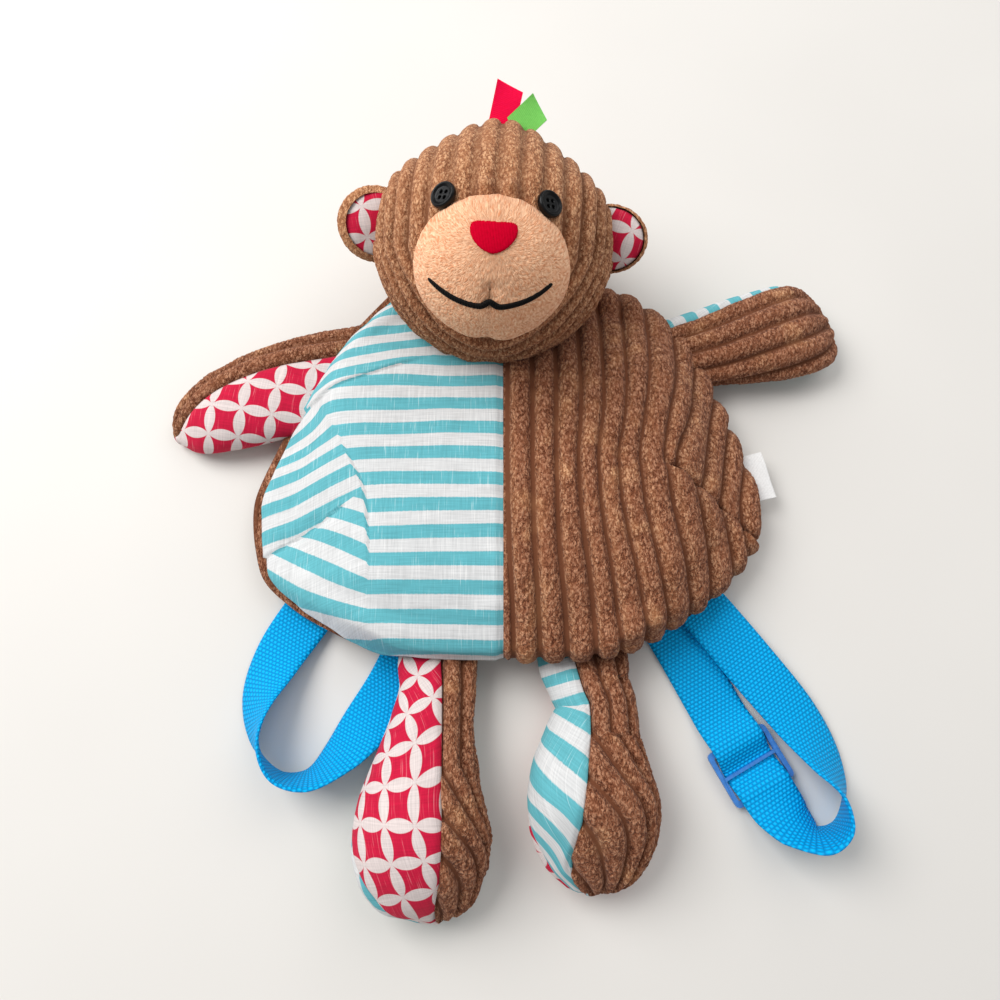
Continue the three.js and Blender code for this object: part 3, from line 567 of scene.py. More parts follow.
def pile_grain(tree):
    """Height of a pile from 0 to 1: curled tips among strokes that are combed one way here and another way
    there."""
    place = own_place(tree)
    bent = bent_place(tree, place, 0.5 / (CURL * MM), (1.2 * CURL * MM,) * 3)
    ways = []
    for lean in COMBED_ANGLES:
        lying = {"Vector": bent, "Rotation": (0, 0, math.radians(lean)), "Scale": (1, 0.5, 0.8)}
        combed = add_node(tree, "Mapping", lying).outputs[0]
        cells = add_node(tree, "TexVoronoi", {"Vector": combed, "Scale": 1 / (CURL * MM)}, feature="F1")
        tips = spread(tree, cells.outputs["Distance"], 0.25, 0.65, 0.55, 0.0)
        strokes = spread(tree, noise(tree, combed, 1 / (STROKE * MM), 1.0)[0], 0.32, 0.68, -0.06, 0.58)
        ways.append(maths(tree, "ADD", tips, strokes))
    patch = noise(tree, place, 1 / (COMBED_PATCH * MM), 0.0)[0]
    return mixed(tree, spread(tree, patch, 0.4, 0.6), *ways)


def corduroy_plush():
    """Polyester corduroy plush: curled pile, with a painted highlight on its tips and painted shade
    in its gaps, on ribs over a smooth ground.
    """
    made, tree, shader = new_finish("corduroy_plush", roughness=0.95, sheen=0.08, specular=0.06)
    crest, tuft, brushed_and_lit = axes(tree, carried(tree, "pile"))
    lump = spread(tree, tuft, 0.1, 0.9, -0.09, 0.16)
    grain = pile_grain(tree)
    uneven = add_node(tree, "Math", {0: grain, 1: lump}, operation="ADD", use_clamp=True).outputs[0]
    height = mixed(tree, maths(tree, "MULTIPLY", brushed_and_lit, 0.35), uneven, 0.55)
    # Painted shade and highlight: dark in the gaps between curls and the mesh's clumps, pale on their tips
    between = blended(tree, spread(tree, height, 0.0, 0.45), "#522A19", "#875339")
    shaded_and_highlit_pile = blended(tree, spread(tree, height, 0.45, 1.0), between, "#BC8869")
    # Painted shade: the colour darkens down each rib's sides towards the groove and brightens a little on its
    # crest
    rounded = vector_maths(tree, "MULTIPLY", shaded_and_highlit_pile, spread(tree, crest, 0.1, 0.9, 0.8, 1.05))
    on_rib = spread(tree, crest, 0.0, 0.3)
    ribbed = blended(tree, on_rib, "#6C412C", rounded)
    # Painted light: pile that is lightened is coloured paler, as are the random brushed patches
    paler = blended(tree, brushed_and_lit, (1.0, 1.0, 1.0, 1.0), (1.72, 2.06, 1.95, 1.0))
    shown = vector_maths(tree, "MULTIPLY", ribbed, paler)
    dress(tree, shader, shown, maths(tree, "MULTIPLY", height, on_rib), 0.8, 0.8)
    return made


def muzzle_plush():
    """Short polyester plush combed away from the nose: fine streaks of tan with pale tips."""
    made, tree, shader = new_finish("muzzle_plush", roughness=0.95, sheen=0.1, specular=0.06)
    off_seam = axes(tree, carried(tree, "pile"))["X"]
    bent = bent_place(tree, carried(tree, "cloth"), 0.3, (2.4, 2.4, 0))
    combed = add_node(tree, "Mapping", {"Vector": bent, "Scale": (1 / 0.5, 1 / 1.5, 1)}).outputs[0]
    streaks = spread(tree, noise(tree, combed, 1.0, 2.0, Roughness=0.55)[0], 0.3, 0.7)
    shown = blended(tree, off_seam, "#8F6042", blended(tree, streaks, "#D68B60", "#FFD0A8"))
    dress(tree, shader, shown, streaks, 0.8, 0.5)
    return made


SLUB_WIDTH = 0.6  # a thick linen thread, drawn coarser than life so that it shows
SLUB_LENGTH = 14.0
STRIPE_PERIOD = 12.5
PETAL_PERIOD = 13.7
PETAL_BOW = 0.6  # how far off a petal's middle its two arcs are centred, as a share of the period
PETAL_EDGE = 0.01


def slubs(tree, cloth, along, across):
    """Thick threads of a linen weave that run one way of the cloth, from 0 to 1."""
    scaled = add_node(tree, "Mapping", {"Vector": cloth, "Scale": (1 / across, 1 / along, 1)}).outputs[0]
    return noise(tree, scaled, 1.0, 2.0)[0]


def linen_finish(name, pattern, ground, printed, bareness):
    """A plain-woven cotton and linen cloth whose slubs catch the light. Its pattern function gives the share
    of the printed colour, and bareness says how far the print misses the thickest threads."""
    made, tree, shader = new_finish(name, roughness=0.88, sheen=0.06, specular=0.15)
    cloth = carried(tree, "cloth")
    warp = slubs(tree, cloth, SLUB_LENGTH, SLUB_WIDTH)
    weft = slubs(tree, cloth, SLUB_WIDTH, SLUB_LENGTH)
    both = maths(tree, "ADD", warp, weft)
    shown = blended(tree, pattern(tree, cloth), ground, printed)
    threads = vector_maths(tree, "MULTIPLY", shown, spread(tree, both, 0.6, 1.4, 0.8, 1.16))
    lightened = blended(tree, spread(tree, warp, 0.62, 0.72, 0.0, bareness), threads, "#F2EEE8")
    dress(tree, shader, lightened, both, 0.4, 0.3)
    return made


def stripes(tree, cloth):
    """Even stripes across the cloth, with the soft edge of single threads, that jump where it is folded."""
    past_fold, hidden, _ = axes(tree, carried(tree, "fold"))
    folded = maths(tree, "GREATER_THAN", past_fold, 0.0)
    place = maths(tree, "MULTIPLY_ADD", folded, hidden, axes(tree, cloth)["Y"])
    uneven = maths(tree, "MULTIPLY_ADD", noise(tree, cloth, 1.1, 1.0)[0], 0.5, place)
    part = maths(tree, "FRACT", maths(tree, "DIVIDE", uneven, STRIPE_PERIOD))
    off = maths(tree, "ABSOLUTE", maths(tree, "SUBTRACT", part, 0.5))
    return spread(tree, off, 0.235, 0.265, 1.0, 0.0)


def petals(tree, cloth):
    """Petals on the sides of a square net, each bounded by two arcs and joined to the next at its points."""
    part = vector_maths(tree, "FRACTION", vector_maths(tree, "MULTIPLY", cloth, (1 / PETAL_PERIOD,) * 3))
    off = vector_maths(tree, "ABSOLUTE", vector_maths(tree, "SUBTRACT", part, (0.5, 0.5, 0.5)))
    x, y, _ = axes(tree, off)
    nearest = 9.0
    for along, across in ((x, y), (y, x)):
        aside = maths(tree, "SUBTRACT", 0.5 + PETAL_BOW, across)
        arc = add_node(tree, "CombineXYZ", {0: along, 1: aside}).outputs[0]
        reach = add_node(tree, "VectorMath", {0: arc}, operation="LENGTH").outputs["Value"]
        nearest = maths(tree, "MINIMUM", reach, nearest)
    radius = math.hypot(0.5, PETAL_BOW) + PETAL_EDGE
    return spread(tree, nearest, radius - PETAL_EDGE, radius + PETAL_EDGE, 1.0, 0.0)


WEAVE_CELL = (2.1, 1.7)  # one cell of the webbing's weave, across and along the strap


def webbing_finish():
    """Polypropylene webbing: a basket weave of glossy threads, each cell raised in its middle, where a
    highlight is painted, with painted shade at its edges.
    """
    made, tree, shader = new_finish("polypropylene_webbing", roughness=0.5, specular=0.08)
    cells = (1 / WEAVE_CELL[0], 1 / WEAVE_CELL[1], 0)
    x, y, _ = axes(tree, vector_maths(tree, "MULTIPLY", carried(tree, "cloth"), cells))
    shifted = maths(tree, "ADD", x, maths(tree, "MULTIPLY", maths(tree, "FLOOR", y), 0.5))
    waves = []
    for place in (shifted, y):
        waves.append(maths(tree, "SINE", maths(tree, "MULTIPLY", maths(tree, "FRACT", place), math.pi)))
    cell_bulge_and_highlight = maths(tree, "MULTIPLY", *waves)
    # Painted highlight and shade: brighter blue on each cell's rise, darker towards its edges
    dress(tree, shader, blended(tree, cell_bulge_and_highlight, "#0086C6", "#08BEFF"), cell_bulge_and_highlight, 0.8, 0.5)
    return made


def thread_finish(name, dark, light, pitch, specular=0.3):
    """Satin stitch or ribbed ribbon: fine parallel threads across the cloth's second direction."""
    made, tree, shader = new_finish(name, roughness=0.7, specular=specular)
    cloth = carried(tree, "cloth")
    wave = maths(tree, "SINE", maths(tree, "MULTIPLY", axes(tree, cloth)["Y"], 2 * math.pi / pitch))
    height = maths(tree, "MULTIPLY_ADD", wave, 0.3, noise(tree, cloth, 0.9, 2.0)[0])
    dress(tree, shader, blended(tree, height, dark, light), height, 0.5, 0.25)
    return made


def plastic_finish(name, code, roughness, grain, specular):
    """Moulded plastic with a faint unevenness of its colour and surface."""
    made, tree, shader = new_finish(name, roughness=roughness, specular=specular, ior=1.49)
    uneven = noise(tree, own_place(tree), 1 / (grain * MM), 3.0)[0]
    shown = vector_maths(tree, "MULTIPLY", colour(code)[:3], spread(tree, uneven, 0.3, 0.7, 0.85, 1.1))
    dress(tree, shader, shown, uneven, 0.15, 0.2)
    return made


CORDUROY = corduroy_plush()
MUZZLE_PLUSH = muzzle_plush()
# Two matt cottons: one with crisp turquoise stripes, one with white petals on deep red
STRIPED = linen_finish("striped_linen_cotton", stripes, "#D2D2D1", "#62AFB8", bareness=0.3)
PRINTED = linen_finish("printed_linen_cotton", petals, "#C4183C", "#D8CAC6", bareness=0.14)
WEBBING = webbing_finish()
# Threads and tapes: saturated, with a fine ribbing and hardly any shine
NOSE_THREAD = thread_finish("red_embroidery", "#AA001C", "#CC002A", pitch=0.6, specular=0.02)
SMILE_THREAD = thread_finish("black_embroidery", "#030303", "#161413", pitch=0.7, specular=0.1)
RED_TAPE = thread_finish("red_grosgrain", "#F8003A", "#FF0A50", pitch=0.8, specular=0.1)
GREEN_TAPE = thread_finish("green_grosgrain", "#6CC455", "#8CE070", pitch=0.8, specular=0.1)
LABEL_TAPE = thread_finish("white_satin_tape", "#DDDBD8", "#F6F4F2", pitch=0.7)
# Plastics: small soft highlights on the black buttons, a duller blue on the slider
BUTTON = plastic_finish("black_button_resin", "#040405", roughness=0.3, grain=3, specular=0.22)
SLIDER_PLASTIC = plastic_finish("blue_acetal", "#3F7CC4", roughness=0.35, grain=2, specular=0.3)


# Corduroy relief


def rib_height(phase, groove):
    """Height from 0 in the groove to 1 on the crest, for rounded ribs one phase apart."""
    off = np.abs(phase % 1 - 0.5) * 2
    t = np.clip(off / (1 - groove), 0, 1)
    return (1 - t ** 2.2) ** 0.7


def plush(points, phase, rib, seed, groove, lightened=0.0):
    """How far corduroy stands out at each point, and the shares that colour it: its height on the rib, its
    height in the clump and how pale it is coloured, from random patches and from painted light."""
    bent = points + 0.7 * np.stack([drift(points, size=2.2, seed=seed + k) for k in range(3)], -1)
    tuft = clumps(bent, PILE_CLUMP, seed + 7)
    crest = rib_height(phase, groove)
    lumps = 1 + 0.16 * drift(points, size=9, seed=seed + 11)
    wide, narrow = drift(points, size=13, seed=seed + 21), drift(points, size=5, seed=seed + 22)
    patches = np.clip(wide + 0.5 * narrow - 0.3, 0, 1)
    # Painted light and shade: lightened paints the pile paler where light falls, the random patches are pile
    # brushed pale, and the crest factor paints shade towards the grooves
    brushed_and_lit = (lightened + (1 - lightened) * patches) * (0.6 + 0.4 * crest)
    stand = rib * crest * lumps + PILE_DEPTH * (tuft - 0.5) * (0.1 + 0.9 * crest) * (1 - 0.4 * brushed_and_lit)
    return stand, joined(crest, tuft, brushed_and_lit)


# Pouch


def by_side(x, y, left, right):
    """One column of the pouch's table for places left of the seam, and another one for those right of it."""
    return np.where(x < 0, through(POUCH, "y", left, y), through(POUCH, "y", right, y))


def pouch_share(x, y):
    """How far a place is from the middle seam towards the outline, where it is 1."""
    return np.abs(x) / by_side(x, y, "left", "right")


def back_outer(x, y, patch=True):
    """Height of the back's underside, lifted round the patch that it rests on and rolled up at its edge."""
    half = (POUCH_TOP - POUCH_BOTTOM) / 2
    lengthwise = np.abs(y - POUCH_BOTTOM - half) / half
    edge = (pouch_share(x, y) ** 4 + lengthwise ** 4) ** 0.25
    aside = (x - REST_PATCH["x"]) / REST_PATCH["half_width"]
    along = (y - REST_PATCH["y"]) / REST_PATCH["half_length"]
    lift = REST_LIFT * (smoothstep(np.hypot(aside, along), 1, 1 + REST_PATCH["fade"]) if patch else 1)
    return lift + EDGE_ROLL * smoothstep(edge, ROLL_START, 1)


def dart_line(dart):
    """A dart's tip, and the way from there to its edge."""
    tip = np.array(dart["tip"], float)
    return tip, np.array(dart["edge"]) - tip


def along_dart(dart, x, y):
    """How far a point lies past the dart's tip, as a share of the dart, and how far above its line."""
    tip, reach = dart_line(dart)
    share = ((x - tip[0]) * reach[0] + (y - tip[1]) * reach[1]) / (reach @ reach)
    return share, y - tip[1] - (x - tip[0]) * reach[1] / reach[0]


def dart_pinch(x, y):
    """How deep the darts pull the front in."""
    pinch = np.zeros_like(x)
    for dart in DARTS:
        tip, reach = dart_line(dart)
        t = np.clip(along_dart(dart, x, y)[0], 0, 1)
        off = np.hypot(x - tip[0] - t * reach[0], y - tip[1] - t * reach[1]) / DART_WIDTH
        pinch += dart["depth"] * np.minimum(1, 3 * t) * (1 - 0.5 * t) * np.exp(-off * off)
    return pinch


def front_inner(x, y):
    """Height of the front's inside: flat as far as its break, then down to the outline, sunk at the darts."""
    starts = by_side(x, y, "break_left", "break_right")
    slope = (1 - np.minimum(1, pouch_share(x, y))) / (1 - starts)
    rise = -BREAK_SOFTNESS * np.log(math.exp(-1 / BREAK_SOFTNESS) + np.exp(-slope / BREAK_SOFTNESS))
    height = through(POUCH, "y", "rise", y) * np.maximum(0, rise)
    sunk = np.maximum(0, height - dart_pinch(x, y) * np.minimum(1, height / 8))
    return back_outer(x, y, patch=False) + BACK_WALL + sunk


def front_outer(x, y, wall):
    """Height of the front's outside, with its wall measured square to the slope."""
    d = 1.0
    dx = (front_inner(x + d, y) - front_inner(x - d, y)) / (2 * d)
    dy = (front_inner(x, y + d) - front_inner(x, y - d)) / (2 * d)
    return front_inner(x, y) + wall * np.minimum(WALL_STEEPEST, np.sqrt(1 + dx ** 2 + dy ** 2))


def pouch_half(side, inset, wall, rim, rows, across):
    """One half of the pouch's front as a grid from the middle seam to the outline, its rim turned under."""
    sign = -1 if side == "left" else 1
    y = np.linspace(POUCH_BOTTOM, POUCH_TOP, 400)
    half = through(POUCH, "y", side, y)
    edge = np.concatenate([[[0, POUCH_BOTTOM]], joined(half, y)])
    edge = even_steps(edge, rows)
    ahead = np.gradient(edge, axis=0)
    out = joined(ahead[:, 1], -ahead[:, 0])
    out /= np.linalg.norm(out, axis=1, keepdims=True)
    for _ in range(12):
        out[1:-1] = (out[:-2] + out[1:-1] + out[2:]) / 3
    edge = edge - inset * out
    edge[:, 0] = np.maximum(edge[:, 0], 0)
    seam = joined(np.zeros(rows), np.linspace(POUCH_BOTTOM + inset, POUCH_TOP, rows))
    u = np.linspace(0, 1, across)[None, :, None]
    flat = seam[:, None] + (edge - seam)[:, None] * u
    flat[..., 0] *= sign
    height = front_outer(flat[..., 0], flat[..., 1], wall)
    top = np.concatenate([flat, height[..., None]], -1)
    turned_under = []
    for outward, drop in rim:
        place = edge + outward * out
        turned_under.append(joined(sign * place[:, 0], place[:, 1], top[:, -1, 2] + drop))
    return np.concatenate([top, np.stack(turned_under, 1)], 1)


def outside_head(faces, points, depth):
    """The faces that lie outside the head, or no deeper than that under its surface."""
    keep = np.linalg.norm(points.reshape(-1, 3) - HEAD_CENTRE, axis=-1) > HEAD_RADIUS - depth
    return faces[keep[faces].all(1)]


def rib_lines(x, y):
    """The number of ribs from the first groove to a point of the corduroy half."""
    share, above = along_dart(DARTS[1], x, y)
    counts = []
    for ribs in (RIBS_BELOW, RIBS_ABOVE):
        places = [through(ribs, "y", name, y) for name in GROOVES]
        count = np.minimum(0, (x - places[0]) / RIB_PITCH) + np.maximum(0, (x - places[-1]) / RIB_PITCH)
        for low, high in zip(places[:-1], places[1:]):
            count += np.clip((x - low) / (high - low), 0, 1)
        counts.append(count)
    upper = np.where(share < 0, y > DARTS[1]["tip"][1], above > 0)
    return np.where(upper, counts[1], counts[0])


def dart_lap(x, y):
    """Where the corduroy is folded in along the right dart, which is also where its shadow is painted,
    where it lies over that, and the lap's edge.
    """
    share, above = along_dart(DARTS[1], x, y)
    lapped = smoothstep(share, LAP["start"], LAP["full"])
    half_width = np.where(above > 0, LAP["fold_above"], LAP["fold_below"])
    folded = lapped * np.exp(-((above / half_width) ** 2))
    overlap, edge = (
        lapped * np.where(above < 0, np.exp(above / reach), 0) for reach in (LAP["reach"], LAP["edge_reach"])
    )
    return folded, overlap, edge


def corduroy_half():
    """The ribbed half of the front, whose ribs below the dart lap over those above it."""
    base = pouch_half("right", inset=3.6, wall=CORDUROY_WALL, rim=CORDUROY_RIM, rows=400, across=230)
    x, y = base[..., 0], base[..., 1]
    waver = 0.06 * drift(base * (0.4, 1, 0), size=30, seed=5) * smoothstep(x, 12, 45)
    phase = rib_lines(x, y) + waver
    groove = RIB_GROOVE["near"] + (RIB_GROOVE["far"] - RIB_GROOVE["near"]) * smoothstep(x, 35, 60)
    # Each rib's left flank lies combed flat and smoother, and gets painted light where it faces the window
    combed_and_lit_flank = smoothstep(phase % 1, 0.04, 0.12) * (1 - smoothstep(phase % 1, 0.2, 0.42))
    stand, pile = plush(base, phase, RIB_HEIGHT, seed=31, groove=groove, lightened=0.3 * combed_and_lit_flank)
    folded, overlap, lap_edge = dart_lap(x, y)
    seam = smoothstep(x, 0, 3)
    stand = stand * (0.25 + 0.75 * seam) * (1 - 0.7 * np.maximum(folded, lap_edge)) - 1.0 * (1 - seam)
    stand += LAP["lift"] * overlap + LAP["edge_lift"] * lap_edge - LAP["sunk"] * folded
    # Painted shadow along the dart's fold: the pile there takes the darker groove colour, wider on the side the
    # lap overhangs
    pile[..., 0] *= 1 - 0.9 * folded
    points = base + normals_of(base) * stand[..., None]
    faces = outside_head(grid_faces(*x.shape)[:, ::-1], base, UNDER_HEAD)
    made = make_piece(
        "front_corduroy", points, faces, CORDUROY, "corduroy", "front_panel_corduroy", pile=pile
    )


def lip(past, reach, behind, sunk):
    """A fold's height: a lip that dies away on the near side, over a hollow on the far side."""
    over = np.exp(-np.maximum(past, 0) / reach)
    under = -sunk * np.exp(np.minimum(past, 0) / behind)
    return under + (over - under) * smoothstep(past, -0.6, 0.6)


def stripe_place(x, y):
    """Place across the stripes of a point of the striped half before its folds, the distance past the nearest
    fold with the cloth hidden there, and how far the folds stand out."""
    crease = {name: through(CREASE, "y", name, y) for name in ("x", "tuck", "above", "below")}
    step = crease["x"] - x
    beside = np.maximum(0, step)
    share, above = along_dart(DARTS[0], x, y)
    start, end = np.array(NECK_FOLD["start"]), np.array(NECK_FOLD["end"])
    reach = (end - start) / np.linalg.norm(end - start)
    neck = (y - start[1]) * reach[0] - (x - start[0]) * reach[1]
    before_end = np.maximum(0, end[0] - x)
    place = y + crease["above"] * beside - crease["tuck"] * smoothstep(step, -0.4, 0.6)
    upper = y > 15 + 0.4 * (x - DARTS[0]["tip"][0])
    fold = np.where(
        upper[..., None],
        joined(neck, NECK_FOLD["climb"] * before_end, 0 * x),
        joined(-above, (crease["below"] - crease["above"]) * beside, 0 * x),
    )
    past = np.abs(step)
    bump = np.where(step > 0, np.exp(-past / 6), -0.5 * np.exp(-past / 3))
    ridge = crease["tuck"] / CREASE["tuck"].max() * bump
    dart = lip(above, reach=5, behind=2.5, sunk=0.8) * smoothstep(share, -0.02, 0.1)
    at_neck = lip(neck, reach=5, behind=3, sunk=0.5)
    return place, fold, 1.2 * ridge + 1.4 * at_neck * smoothstep(before_end, 0, 20) + 1.1 * dart


def striped_half():
    """The striped half of the front, with its crease, its dart, the fold at the neck and a puckered seam."""
    base = pouch_half("left", inset=1.2, wall=STRIPED_WALL, rim=STRIPED_RIM, rows=320, across=180)
    rows, columns = base.shape[:2]
    normal = normals_of(base)
    normal *= np.sign(normal[rows // 2, columns // 2, 2])
    x, y = base[..., 0], base[..., 1]
    flat = base * (1, 1, 0)
    place, fold, stand = stripe_place(x, y)
    edge = smoothstep(pouch_share(x, y), 0.8, 0.97)
    wrinkle = 0.5 * drift(flat, size=28, seed=3) + 0.25 * drift(flat, size=9, seed=4)
    wrinkle = wrinkle + 0.4 * edge * drift(flat, size=7, seed=12)
    seam = 1 - smoothstep(-x, 0, 4)
    pucker = 0.5 * drift(joined(x * 0.3, y, 0 * x), size=4.5, seed=9) * (1 - smoothstep(-x, 2, 16))
    points = base + normal * (wrinkle + pucker + stand - 1.2 * seam)[..., None]
    cloth = joined(x, place - STRIPE_START + 0.6 * drift(flat, size=26, seed=14), 0 * x)
    faces = outside_head(grid_faces(rows, columns), base, UNDER_HEAD)
    made = make_piece(
        "front_striped", points, faces, STRIPED, "striped_cotton", "front_panel_striped",
        cloth=cloth, fold=fold,
    )


def back_shell():
    """The back: corduroy with flattened ribs, a slit across its upper part, and its edge curled up."""
    y = np.unique(np.concatenate([
        np.linspace(POUCH_BOTTOM, MOUTH["low"], 70),
        np.linspace(MOUTH["low"], MOUTH["high"], 6),
        np.linspace(MOUTH["high"], POUCH_TOP, 26),
    ]))
    u = np.linspace(-1, 1, 141)
    left = through(POUCH, "y", "left", y) + BACK_MARGIN_LEFT
    right = through(POUCH, "y", "right", y)
    x = np.where(u[None] < 0, u[None] * left[:, None], u[None] * right[:, None])
    yy = np.broadcast_to(y[:, None], x.shape)
    tucked = yy + 2.4 * (1 - smoothstep(yy, POUCH_BOTTOM, POUCH_BOTTOM + 24))
    low = joined(x, tucked, back_outer(x, yy))
    normal = normals_of(low)
    normal *= -np.sign(normal[40, 70, 2])
    stand, pile = plush(low, x / RIB_PITCH, rib=0.5, seed=61, groove=RIB_GROOVE["near"])
    outer = low + normal * np.minimum(stand, 0.6)[..., None] * np.clip(low[..., 2:] / 2, 0, 1)
    inner = low + (0, 0, BACK_WALL)
    slit = (yy > MOUTH["low"] + 0.1) & (yy < MOUTH["high"] - 0.1) & (np.abs(x) < MOUTH["half_width"])
    faces = outside_head(grid_faces(*x.shape), low, UNDER_HEAD)
    faces = faces[~slit.ravel()[faces].any(1)]
    edges = np.concatenate([faces[:, [k, (k + 1) % 4]] for k in range(4)])
    _, first, times = np.unique(np.sort(edges, axis=1), axis=0, return_index=True, return_counts=True)
    rim = edges[first[times == 1]]
    count = x.size
    walls = joined(rim[:, 1], rim[:, 0], rim[:, 0] + count, rim[:, 1] + count)
    every = np.concatenate([faces, faces[:, ::-1] + count, walls])
    points, pile = np.concatenate([outer, inner]), np.concatenate([pile, pile])
    made = make_piece("back", points, every, CORDUROY, "corduroy", "back_panel", pile=pile)


# Head


def crowned(points):
    """Points of the ball in the head's own frame, drawn in towards the crown."""
    t = np.clip((points[..., 1] - CROWN["start"]) / CROWN["over"], 0, 1.2)
    narrow = CROWN["narrow"] * t ** 1.4
    return np.stack([
        points[..., 0] * (1 - narrow),
        points[..., 1] - CROWN["drop"] * t ** 2,
        points[..., 2] * (1 - 0.4 * narrow),
    ], -1)


def head_ball():
    """The ribbed ball of the head, finer towards the viewer, with ribs that sweep in under the chin."""
    fine = np.radians(np.linspace(-80, 130, 290))
    coarse = np.radians(np.linspace(130, 280, 92))[1:-1]
    tilt = np.radians(np.linspace(-89.6, 89.6, 252))
    lat, phi = np.meshgrid(tilt, np.concatenate([fine, coarse]), indexing="ij")
    out = joined(np.sin(lat), np.cos(lat) * np.sin(phi), np.cos(lat) * np.cos(phi))
    radius = HEAD_RADIUS - HEAD_RIB_HEIGHT
    base = radius * out
    low = HEAD_RADIUS * -((phi + math.pi) % (2 * math.pi) - math.pi)
    side = HEAD_RADIUS * np.arcsin(np.clip(np.abs(crowned(base)[..., 0]) / radius, 0, 1))
    sweep = np.clip(low - CHIN_SWEEP["start"], 0, 90) * np.where(low < 130, 1, 0)
    power = CHIN_SWEEP["power"]
    line = (side ** power + (CHIN_SWEEP["share"] * sweep) ** power) ** (1 / power)
    forehead = smoothstep(-low, 4, 30) * smoothstep(low, -90, -60) * (1 - smoothstep(side, 30, 50))
    chin = smoothstep(low, 20, 45)
    # Partly painted shade: at the chin the grooves run wider and spread their darker ground colour
    groove = HEAD_GROOVE + (FOREHEAD_GROOVE - HEAD_GROOVE) * forehead + 0.12 * chin
    deep = HEAD_RIB_HEIGHT + 0.6 - 1.0 * forehead + 1.2 * chin
    # Painted light: the head's pile is coloured paler, most on the forehead and least at the chin, where this
    # paints shade
    lightened = HEAD_PAINTED_LIGHT["all"] + HEAD_PAINTED_LIGHT["forehead"] * forehead - HEAD_PAINTED_LIGHT["chin"] * chin
    stand, pile = plush(base, line / HEAD_RIB_PITCH, deep, seed=71, groove=groove, lightened=lightened)
    # On the forehead the grooves get less painted shade and more painted light
    pile[..., 0] = np.maximum(pile[..., 0], 0.2 * forehead)
    pile[..., 2] = np.maximum(pile[..., 2], 0.65 * forehead)
    aside = (side - GATHERS["side"]) / GATHERS["half_width"]
    above = (low + GATHERS["above"]) / GATHERS["half_height"]
    gathered = GATHERS["out"] * np.exp(-(aside ** 2) - above ** 2)
    points = placed(HEAD, crowned(base + out * (stand + gathered)[..., None]))
    points[..., 2] = np.maximum(points[..., 2], 0)
    rows, columns = lat.shape
    count = rows * columns
    fan = np.arange(columns)
    after = (fan + 1) % columns
    last = count - columns
    faces = grid_faces(rows, columns, ring=True).tolist()
    faces += joined(np.full(columns, count), after, fan).tolist()
    faces += joined(np.full(columns, count + 1), last + fan, last + after).tolist()
    ends = np.stack([points[0].mean(0), points[-1].mean(0)])
    made = make_piece(
        "head_plush", np.concatenate([points.reshape(-1, 3), ends]), faces, CORDUROY, "corduroy", "head",
        pile=np.concatenate([pile.reshape(-1, 3), pile[[0, -1], 0]]),
    )


def half_ball(steps, round_steps, opening):
    """Directions over a ball from its pole to the opening's angle, in rings."""
    turn = np.radians(np.linspace(0, 360, round_steps, endpoint=False))
    polar = np.radians(np.linspace(0.6, opening, steps))
    p, t = np.meshgrid(polar, turn, indexing="ij")
    return joined(np.sin(p) * np.cos(t), np.sin(p) * np.sin(t), np.cos(p))


def on_muzzle(flat, lift):
    """Points of a flat drawing in the part's frame, lifted off the muzzle's surface."""
    x, y = flat[..., 0], flat[..., 1]
    w, h, d = MUZZLE["half_width"], MUZZLE["half_height"], MUZZLE["half_depth"]
    height = d * np.sqrt(np.maximum(0, 1 - (x / w) ** 2 - (y / h) ** 2)) + lift
    return placed(MUZZLE_FRAME, np.concatenate([flat, height[..., None]], -1))


def muzzle_ball():
    """The plush muzzle, with a cleft over the mouth and a crease from there to the chin."""
    unit = half_ball(104, 280, opening=97)
    base = unit * (MUZZLE["half_width"], MUZZLE["half_height"], MUZZLE["half_depth"])
    base[..., 1] *= np.where(base[..., 1] < 0, 0.95, 1)
    x, y = base[..., 0], base[..., 1]
    below = smoothstep(-y, 4 - SMILE["drop"], MUZZLE["half_height"])
    over = y - SMILE["drop"]
    cleft = smoothstep(over, -1, 2) * (1 - smoothstep(over, 7, 12))
    crease = (1.3 * below + 1.6 * cleft) * np.exp(-((x / 3.4) ** 2))
    seam = np.exp(-((x / 0.55) ** 2)) * np.maximum(0.35 * below, cleft)
    chin = 0.5 * below * np.exp(-(((np.abs(x) - 9) / 7) ** 2))
    tuft = clumps(base * (1, 0.6, 0.7), size=1.4, seed=17)
    stand = 0.3 * (tuft - 0.5) + 0.4 * drift(base, size=9, seed=15) + chin - crease
    points = placed(MUZZLE_FRAME, base + unit * stand[..., None])
    faces = outside_head(grid_faces(*x.shape, ring=True), placed(MUZZLE_FRAME, base), depth=2.5)
    pile = joined(1 - 0.85 * seam, tuft, 0 * x)
    away = y - NOSE["above"]
    angle = np.abs(np.arctan2(x, -away))
    combed = joined(20 * angle, np.hypot(x, away), 0.4 * x)
    made = make_piece(
        "muzzle_plush", points, faces, MUZZLE_PLUSH, "muzzle_plush", "muzzle", cloth=combed, pile=pile
    )


